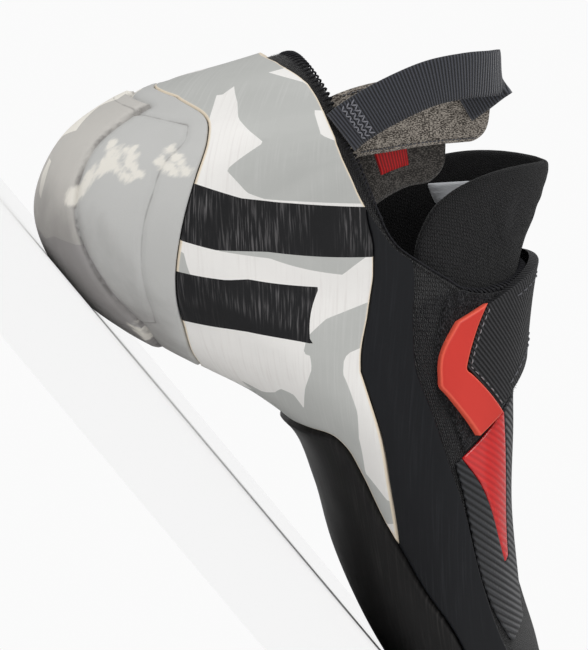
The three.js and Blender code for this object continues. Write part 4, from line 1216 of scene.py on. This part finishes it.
def strap_depth(place, turn, edge):
    """The strap thins out where it is sewn down."""
    sewn = ramp(wrap(turn, -1.0), -1.36, -1.26)
    return STRAP_FLOOR + STRAP_WALL - 1.5 * (1 - sewn)


strap = skin("strap_cover", lambda p, t: inside(p, t, STRAP) & ~inside(p, t, TIP_ROOM), [STRAP, TIP_ROOM],
             strap_depth, GAP, rim=0.5, pitch=1.3, centre=-1.0)
dress(strap, ribbed("strap_cover", paint(12, 12, 13), paint(56, 56, 58), 0.95, -1.15, 0.35, 0.6, wobble=0.8,
                    Specular_IOR_Level=0.2))
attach(strap, "root")
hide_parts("strap")


def tube_runs(name, runs, radius):
    """Short thread stitches. Each run is a row of points in millimetres; the ends go thin."""
    points = []
    faces = []
    sides = 5
    for run in runs:
        run = np.asarray(run)
        along = np.gradient(run, axis=0)
        along /= np.linalg.norm(along, axis=1, keepdims=True) + 1e-9
        first = np.cross(along, (0.3, 0.5, 0.81))
        first /= np.linalg.norm(first, axis=1, keepdims=True) + 1e-9
        second = np.cross(along, first)
        start = len(points)
        for k in range(len(run)):
            share = k / (len(run) - 1)
            size = radius * (0.35 + 0.65 * math.sin(math.pi * share) ** 0.5)
            for j in range(sides):
                angle = 2 * math.pi * j / sides
                points.append(run[k] + size * (math.cos(angle) * first[k] + math.sin(angle) * second[k]))
        for k in range(len(run) - 1):
            for j in range(sides):
                a = start + k * sides + j
                b = start + k * sides + (j + 1) % sides
                faces.append((a, b, b + sides, a + sides))
    return make_object(name, points, faces, np.zeros((len(points), 2)))


def stitch(start, end, normal, rise=0.3):
    """One stitch from a hole to the next, bowed up off the cloth."""
    shares = np.linspace(0, 1, 5)
    return [start * (1 - s) + end * s + normal * (rise * math.sin(math.pi * s) - 0.12) for s in shares]


def seam_on_last(line, depth, length, gap):
    """Stitches along a line of places and turns at a depth on the last."""
    even = resample(np.array(line, float), 0.1)
    count = int(len(even) * 0.1 / (length + gap))
    runs = []
    for k in range(count):
        a = int(k * (length + gap) / 0.1)
        b = min(len(even) - 1, a + int(length / 0.1))
        ends = on_last(even[[a, b], 0], even[[a, b], 1], depth)
        normal = read(NORMALS, even[[a], 0], even[[a], 1])[0]
        runs.append(stitch(ends[0], ends[1], normal))
    return runs


grey_thread = start_material("grey_thread", paint(92, 92, 96), 0.8, Specular_IOR_Level=0.2)[0]
STRAP_ROWS = [
    [(7.66, -1.3), (7.75, -1.1), (7.75, -0.95), (7.68, -0.8), (7.62, -0.73)],
    [(8.93, -1.29), (8.8, -1.1), (8.78, -0.95), (8.85, -0.82)],
]
strap_seams = []
for row in STRAP_ROWS:
    strap_seams += seam_on_last(row, STRAP_FLOOR + STRAP_WALL, 2.2, 0.9)
strap_thread = tube_runs("strap_seams", strap_seams, 0.26)
dress(strap_thread, grey_thread)
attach(strap_thread, "root")

# A finer row of stitches follows the border where the red grip is let into the cover.
BORDER = loop(TIP_PANEL, grow=1.3)
border = BORDER[:len(BORDER) // 2]
border = border[inside(border[:, 0], border[:, 1], STRAP)]
border_thread = tube_runs("border_seam", seam_on_last(border, STRAP_FLOOR + STRAP_WALL, 1.5, 0.7), 0.2)
dress(border_thread, start_material("pale_thread", paint(128, 126, 128), 0.8, Specular_IOR_Level=0.2)[0])
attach(border_thread, "root")

# Strap grip. A red moulded rubber tab with a rounded rim, moulded on to the strap's free end for the
# fingers to pull. The rim is painted paler, a painted glow of light through the thin rubber there.
TIP_WALL = 2.6
strap_tip = skin("strap_grip", lambda p, t: inside(p, t, TIP), [TIP], STRAP_FLOOR + TIP_WALL, STRAP_FLOOR,
                 rim=0.9, pitch=0.9, centre=-1.0)
# The paler rim colour is painted light, a glow through the thin rounded edge.
grip = rubber("red_grip", paint(200, 52, 42), 0.42, grain=0.02, rim=paint(232, 92, 72), shade=0.95)
dress(strap_tip, grip)
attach(strap_tip, "root")
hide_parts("strap_tip")

# Pull loop. Black grosgrain webbing at the collar's outer side, sewn on with zigzag seams and folded back
# at its far end, for pulling the shoe on.
LOOP_WIDTH = 12.5
LOOP_THICK = 1.2


def strip(name, rows, width, thick, across, per=10, corner=0.0):
    """A band of webbing or felt. Its rows give its middle line, which way its width lies, and its share of
    the width. corner is the radius of the far end's corners in millimetres."""
    where = np.arange((len(rows) - 1) * per + 1) / per
    if corner:
        where = np.concatenate([where[where < len(rows) - 2],
                                len(rows) - 1 - (1 - np.linspace(0, 1, 2 * per)) ** 2])
    steps = len(where) - 1
    data = np.array([[smooth([row[k] for row in rows], w) for k in range(7)] for w in where])
    middle = data[:, :3]
    along = np.gradient(middle, axis=0)
    along /= np.linalg.norm(along, axis=1, keepdims=True)
    wide = data[:, 3:6] - along * np.sum(data[:, 3:6] * along, 1)[:, None]
    wide /= np.linalg.norm(wide, axis=1, keepdims=True)
    up = np.cross(along, wide)
    length = np.concatenate([[0], np.cumsum(np.linalg.norm(np.diff(middle, axis=0), axis=1))])
    points = []
    uv = []
    sides = np.linspace(-1, 1, across + 1)
    loop_size = 2 * (across + 1)
    for k in range(steps + 1):
        half = width * data[k, 6] / 2
        left = min(length[-1] - length[k], corner)
        half -= corner - math.sqrt(max(0.0, corner ** 2 - (corner - left) ** 2))
        for face in (1, -1):
            for side in (sides if face == 1 else sides[::-1]):
                curve = thick / 2 * (1 - 0.55 * abs(side) ** 6)
                points.append(middle[k] + wide[k] * side * half + up[k] * face * curve)
                uv.append((length[k] * UV_PER_MM, side * half * UV_PER_MM))
    faces = []
    for k in range(steps):
        for c in range(loop_size):
            a = k * loop_size + c
            b = k * loop_size + (c + 1) % loop_size
            faces.append((a, b, b + loop_size, a + loop_size))
    faces.append(tuple(range(loop_size))[::-1])
    faces.append(tuple(steps * loop_size + c for c in range(loop_size)))
    thing = make_object(name, points, faces, uv)
    flip = bmesh.new()
    flip.from_mesh(thing.data)
    bmesh.ops.recalc_face_normals(flip, faces=flip.faces)
    flip.to_mesh(thing.data)
    flip.free()
    return thing


LOOP_LINE = [
    (9, -25.5, 81.4, 1, -0.2, -0.05, 1), (9.1, -25.8, 87, 1, -0.13, -0.1, 1),
    (10, -28.5, 97, 1, -0.1, -0.25, 1), (13, -29.5, 108, 1, -0.05, -0.4, 1),
    (18, -29, 117, 0.9, 0, -0.5, 1), (22.8, -26.8, 123, 0.86, 0.02, -0.5, 1),
    (25.6, -24, 126, 0.86, 0.02, -0.5, 1), (26.8, -21.8, 126.2, 0.86, 0.02, -0.5, 1),
    (27.4, -20.6, 124.1, 0.88, 0.02, -0.46, 1), (27.4, -20.3, 119.6, 0.9, 0, -0.4, 1),
    (26.8, -20.3, 113.5, 0.9, 0, -0.36, 1),
]
pull_loop = strip("webbing_loop", LOOP_LINE, LOOP_WIDTH, LOOP_THICK, across=12, per=20)
dress(pull_loop, ribbed("webbing", paint(11, 12, 14), paint(64, 66, 74), 0.85, 0.0, 0.28, 0.7, wobble=0.3,
                        Sheen_Weight=0.2))
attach(pull_loop, "root")
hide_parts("pull_loop")

SEAM_MARGIN = 0.86  # how far a zigzag reaches over the strip's half width


def strip_point(rows, width, where, side, lift):
    """A point on a strip: where counts its rows, side is -1 to 1 over its width, lift is off its middle."""
    data = [smooth([row[k] for row in rows], where) for k in range(7)]
    ahead = np.array([smooth([row[k] for row in rows], min(where + 0.05, len(rows) - 1)) for k in range(3)])
    behind = np.array([smooth([row[k] for row in rows], max(where - 0.05, 0)) for k in range(3)])
    along = (ahead - behind) / np.linalg.norm(ahead - behind)
    wide = np.array(data[3:6]) - along * np.dot(data[3:6], along)
    wide /= np.linalg.norm(wide)
    up = np.cross(along, wide)
    return np.array(data[:3]) + wide * side * width * data[6] / 2 + up * lift, up


def zigzag(rows, width, starts, span, lift, count):
    """A zigzag seam across a strip."""
    runs = []
    for start in starts:
        for k in range(count):
            left = -SEAM_MARGIN + 2 * SEAM_MARGIN * k / count
            right = -SEAM_MARGIN + 2 * SEAM_MARGIN * (k + 1) / count
            one = start if k % 2 else start + span
            two = start + span if k % 2 else start
            a, normal = strip_point(rows, width, one, left, lift)
            b, _ = strip_point(rows, width, two, right, lift)
            runs.append(stitch(a, b, normal * (1 if lift > 0 else -1), rise=0.2))
    return runs


webbing_thread = start_material("webbing_thread", paint(120, 120, 126), 0.7, Specular_IOR_Level=0.25)[0]
loop_seams = zigzag(LOOP_LINE, LOOP_WIDTH, (0.72, 0.92, 1.1), 0.16, -0.66, 12)
webbing_seams = tube_runs("webbing_seams", loop_seams, 0.24)
dress(webbing_seams, webbing_thread)
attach(webbing_seams, "root")

# Grey flap. A rounded tab of pressed heather felt, sewn in behind the loop with a seam inside both edges.
# The loop's folded end lies on it.
FLAP_WIDTH = 21
FLAP_THICK = 1.6
TAB_LINE = [
    (10, -20, 76, 1, -0.28, 0, 0.86), (11, -18.6, 84, 1, -0.28, 0, 0.86),
    (16, -18.4, 94, 1, -0.15, -0.3, 0.92), (23, -18.2, 104, 1, 0, -0.5, 0.88),
    (30, -18, 113, 0.9, 0, -0.6, 0.84), (35, -18, 118.5, 0.85, 0, -0.6, 0.78),
]
heel_tab = strip("grey_flap", TAB_LINE, FLAP_WIDTH, FLAP_THICK, across=14, corner=5)
dress(heel_tab, felt("grey_felt", paint(62, 57, 52), paint(168, 160, 150), share=0.6))
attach(heel_tab, "root")
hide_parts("heel_tab")
tab_edge = []
for side in (-0.88, 0.88):
    for k in range(34):
        a, normal = strip_point(TAB_LINE, FLAP_WIDTH, 1.2 + k * 0.1, side, -0.82)
        b, _ = strip_point(TAB_LINE, FLAP_WIDTH, 1.2 + k * 0.1 + 0.075, side, -0.82)
        tab_edge.append(stitch(a, b, -normal, rise=0.15))
flap_seams = tube_runs("flap_seams", tab_edge, 0.22)
dress(flap_seams, grey_thread)
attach(flap_seams, "root")

# Dark flap. A shorter tab of felt, the end of the heel's lining, sewn in inside the grey one. Its felt is
# painted darker than the grey one's, painted shade for the shade on its inner side. A red ribbed ribbon is
# sewn across it.
LINING_LINE = [
    (24, -19.4, 73, 1, -0.05, 0, 0.9), (25.5, -17.6, 82, 1, -0.05, -0.2, 0.9),
    (29, -16, 91, 1, 0, -0.4, 0.84), (33, -15.6, 98, 0.9, 0, -0.6, 0.84),
    (36.5, -15.6, 102.5, 0.85, 0, -0.6, 0.8),
]
lining_tab = strip("dark_flap", LINING_LINE, FLAP_WIDTH, FLAP_THICK, across=14, corner=6)
# The darker felt colours are painted shade, for the shade on the flap's inner side.
dress(lining_tab, felt("dark_felt", paint(40, 38, 36), paint(92, 88, 84), share=0.4))
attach(lining_tab, "root")
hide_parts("lining_tab")

ROW_UV = 0.09  # a flap's length from one row to the next, in UV units


def strip_patch(name, rows, width, span, sides, lift, thick):
    """A small patch lying on a strip."""
    points = []
    uv = []
    wheres = np.linspace(*span, 14)
    shares = np.linspace(*sides, 16)
    for where in wheres:
        for share in shares:
            border = min(where - span[0], span[1] - where)
            border = min(border, (share - sides[0]) * 0.5, (sides[1] - share) * 0.5)
            rise = lift + math.copysign(thick * min(1.0, border / 0.03), lift)
            points.append(strip_point(rows, width, where, share, rise)[0])
            uv.append((where * ROW_UV, share * width / 2 * UV_PER_MM))
    n = len(shares)
    faces = []
    for row in range(len(wheres) - 1):
        for a in range(row * n, row * n + n - 1):
            faces.append((a, a + 1, a + n + 1, a + n))
    return make_object(name, points, faces, uv)


ribbon = strip_patch("red_ribbon", LINING_LINE, FLAP_WIDTH, (1.3, 2.3), (-0.95, 0.3), -0.84, 0.5)
dress(ribbon, ribbed("ribbon_red", paint(120, 10, 14), paint(196, 26, 28), 0.8, 0.0, 0.2, 0.5, wobble=0.4))
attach(ribbon, "root")

# Hem and pile. The collar's edge is bound with black overlock stitches, each one thread over the roll.
# Loose fibre ends stand on the collar, on the landing patch and on the knit beside it, where it is worn.
HEM_STEP = 1.6
hem_seams = []
for spot in resample(collar_chain(0.0), HEM_STEP)[:-1]:
    angles = np.linspace(-0.7, math.pi + 0.7, 10)
    hem_place = collar_at(np.full(10, spot[1])) + 0.135 * np.sin(angles)
    hem_seams.append(on_last(hem_place, spot[1] + 0.006 * (angles / math.pi - 0.5),
                             -1.0 + 1.5 * np.cos(angles)))
hem_thread = tube_runs("hem_seams", hem_seams, 0.34)
dress(hem_thread, start_material("hem_thread", paint(40, 40, 43), 0.9, Specular_IOR_Level=0.15)[0])
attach(hem_thread, "root")


def fuzz(name, places, turns, depth, length, width, seed, lean=0.7):
    """Loose fibre ends standing on the cloth, each a bent sliver."""
    random = np.random.default_rng(seed)
    count = len(places)
    roots = on_last(places, turns, depth)
    normals = read(NORMALS, places, turns)
    tilt = random.normal(0, lean, (count, 3))
    first = normals + tilt
    first /= np.linalg.norm(first, axis=1, keepdims=True)
    second = normals * 0.4 + tilt * 1.5 + random.normal(0, 0.6, (count, 3))
    second /= np.linalg.norm(second, axis=1, keepdims=True)
    size = length * random.uniform(0.4, 1.0, (count, 1))
    middle = roots + first * size * 0.55
    tip = middle + second * size * 0.55
    across = np.cross(first, random.normal(0, 1, (count, 3)))
    across *= width / (np.linalg.norm(across, axis=1, keepdims=True) + 1e-9)
    narrow = across * 0.8
    points = np.stack([roots - across, roots + across, middle + narrow, middle - narrow, tip], 1)
    index = np.arange(count)[:, None] * 5
    faces = [tuple(f) for f in (index + [0, 1, 2, 3])] + [tuple(f) for f in (index + [3, 2, 4])]
    thing = make_object(name, points.reshape(-1, 3), faces, np.zeros((count * 5, 2)))
    dress(thing, start_material(name + "_fibre", paint(52, 52, 55), 0.9, Specular_IOR_Level=0.15)[0])
    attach(thing, "root")


# Each cloth is sown evenly with tries, and the ones that fall on it grow a fibre, up to a number.
PILE_TRIES = 26000
PILE_FIBRES = 9000
KNIT_TRIES = 16000
KNIT_FIBRES = 6000
HEM_FIBRES = 7000
ROOT = 0.05  # how deep a fibre stands in its cloth

scatter = np.random.default_rng(4)
spot_place = scatter.uniform(7.3, 9.9, PILE_TRIES)
spot_turn = scatter.uniform(-1.3, -0.57, PILE_TRIES)
on_pile = inside(spot_place, spot_turn, LOOP) & below_collar(spot_place, spot_turn)
on_pile &= ~inside(spot_place, spot_turn, STRAP) & ~inside(spot_place, spot_turn, TIP)
fuzz("pile_fibres", spot_place[on_pile][:PILE_FIBRES], spot_turn[on_pile][:PILE_FIBRES],
     GAP + PATCH_WALL - ROOT, 1.1, 0.06, 5)
knit_scatter = np.random.default_rng(24)
knit_place = knit_scatter.uniform(7.0, 9.9, KNIT_TRIES)
knit_turn = knit_scatter.uniform(-0.8, -0.53, KNIT_TRIES)
on_knit = inside(knit_place, knit_turn, OPEN) & below_collar(knit_place, knit_turn)
on_knit &= ~inside(knit_place, knit_turn, LOOP)
fuzz("knit_fibres", knit_place[on_knit][:KNIT_FIBRES], knit_turn[on_knit][:KNIT_FIBRES],
     -ROOT, 0.9, 0.05, 25)
hem_scatter = np.random.default_rng(14)
hem_turn = hem_scatter.uniform(-1, 1, HEM_FIBRES)
hem_place = collar_at(hem_turn) - hem_scatter.uniform(0.0, 0.3, HEM_FIBRES)
fuzz("collar_fibres", hem_place, hem_turn, ROOT, 0.9, 0.045, 6)

# Camera. It has the photo's angle round the shoe and its roll. The photo looks from just below the floor's
# plane, so the camera is brought up until it stops at the floor.
VIEW_ROUND = 68.0  # degrees from straight behind towards the outer side
VIEW_ROLL = 50.0
TARGET = np.array([30.0, -10.0, 45.0])
DISTANCE = 700.0
PIXELS_PER_MM = 3.62  # at the target
CENTRE = (266.0, 262.0)  # the target's pixel in the picture
WIDE, TALL = 588.0, 650.0
SENSOR = 24.0
CAMERA_HEIGHT = 4.0
lift = math.asin((CAMERA_HEIGHT - TARGET[2]) / DISTANCE)
turn_round = math.radians(VIEW_ROUND)
out = np.array([-math.cos(turn_round) * math.cos(lift), -math.sin(turn_round) * math.cos(lift),
                math.sin(lift)])
right = np.cross(-out, [0, 0, 1])
right /= np.linalg.norm(right)
up = np.cross(right, -out)
roll = math.radians(VIEW_ROLL)
across = math.cos(roll) * right + math.sin(roll) * up
upward = -math.sin(roll) * right + math.cos(roll) * up
place = (TARGET + out * DISTANCE) * METRES
bpy.context.scene.view_settings.view_transform = "Standard"
camera = bpy.data.objects.new("camera", bpy.data.cameras.new("camera"))
bpy.context.scene.collection.objects.link(camera)
camera.matrix_world = Matrix([
    (across[0], upward[0], out[0], place[0]),
    (across[1], upward[1], out[1], place[1]),
    (across[2], upward[2], out[2], place[2]),
    (0, 0, 0, 1),
])
camera.data.sensor_fit = "VERTICAL"
camera.data.sensor_height = SENSOR
camera.data.lens = PIXELS_PER_MM * DISTANCE / TALL * SENSOR
camera.data.shift_x = (WIDE / 2 - CENTRE[0]) / TALL
camera.data.shift_y = (CENTRE[1] - TALL / 2) / TALL
bpy.context.scene.camera = camera

# Floor and light. A plain floor of pale paper, an even pale world, as in a light tent, and three soft suns
# that stand for lamps behind diffusers.
bpy.ops.mesh.primitive_plane_add(size=60)
floor = bpy.context.object
floor.name = "floor"
paper = bpy.data.materials.new("paper")
paper.use_nodes = True
paper.node_tree.nodes["Principled BSDF"].inputs["Base Color"].default_value = (0.96, 0.96, 0.96, 1)
paper.node_tree.nodes["Principled BSDF"].inputs["Roughness"].default_value = 0.9
floor.data.materials.append(paper)
world = bpy.data.worlds.new("studio")
bpy.context.scene.world = world
world.use_nodes = True
sky = world.node_tree
backdrop = sky.nodes["Background"]
backdrop.inputs["Color"].default_value = (1, 1, 1, 1)
backdrop.inputs["Strength"].default_value = 0.96
glow = node(sky, "ShaderNodeBackground", {"Color": (1, 1, 1, 1), "Strength": 0.45})
seen = node(sky, "ShaderNodeLightPath").outputs["Is Camera Ray"]
either = node(sky, "ShaderNodeMixShader", {0: seen, 1: glow.outputs[0], 2: backdrop.outputs[0]})
sky.links.new(either.outputs[0], sky.nodes["World Output"].inputs["Surface"])


def sun(name, towards, softness, power):
    """Soft light from a far lamp: towards is the way to it, from the shoe."""
    light = bpy.data.lights.new(name, "SUN")
    light.angle = math.radians(softness)
    light.energy = power
    thing = bpy.data.objects.new(name, light)
    thing.rotation_euler = (-Vector(towards)).to_track_quat("-Z", "Y").to_euler()
    bpy.context.scene.collection.objects.link(thing)


sun("key", (-0.8, -0.5, 0.9), 35, 1.5)
sun("fill", (0.6, -1.0, 0.5), 60, 0.5)
sun("top", (0.4, 0.6, 1.0), 60, 0.5)
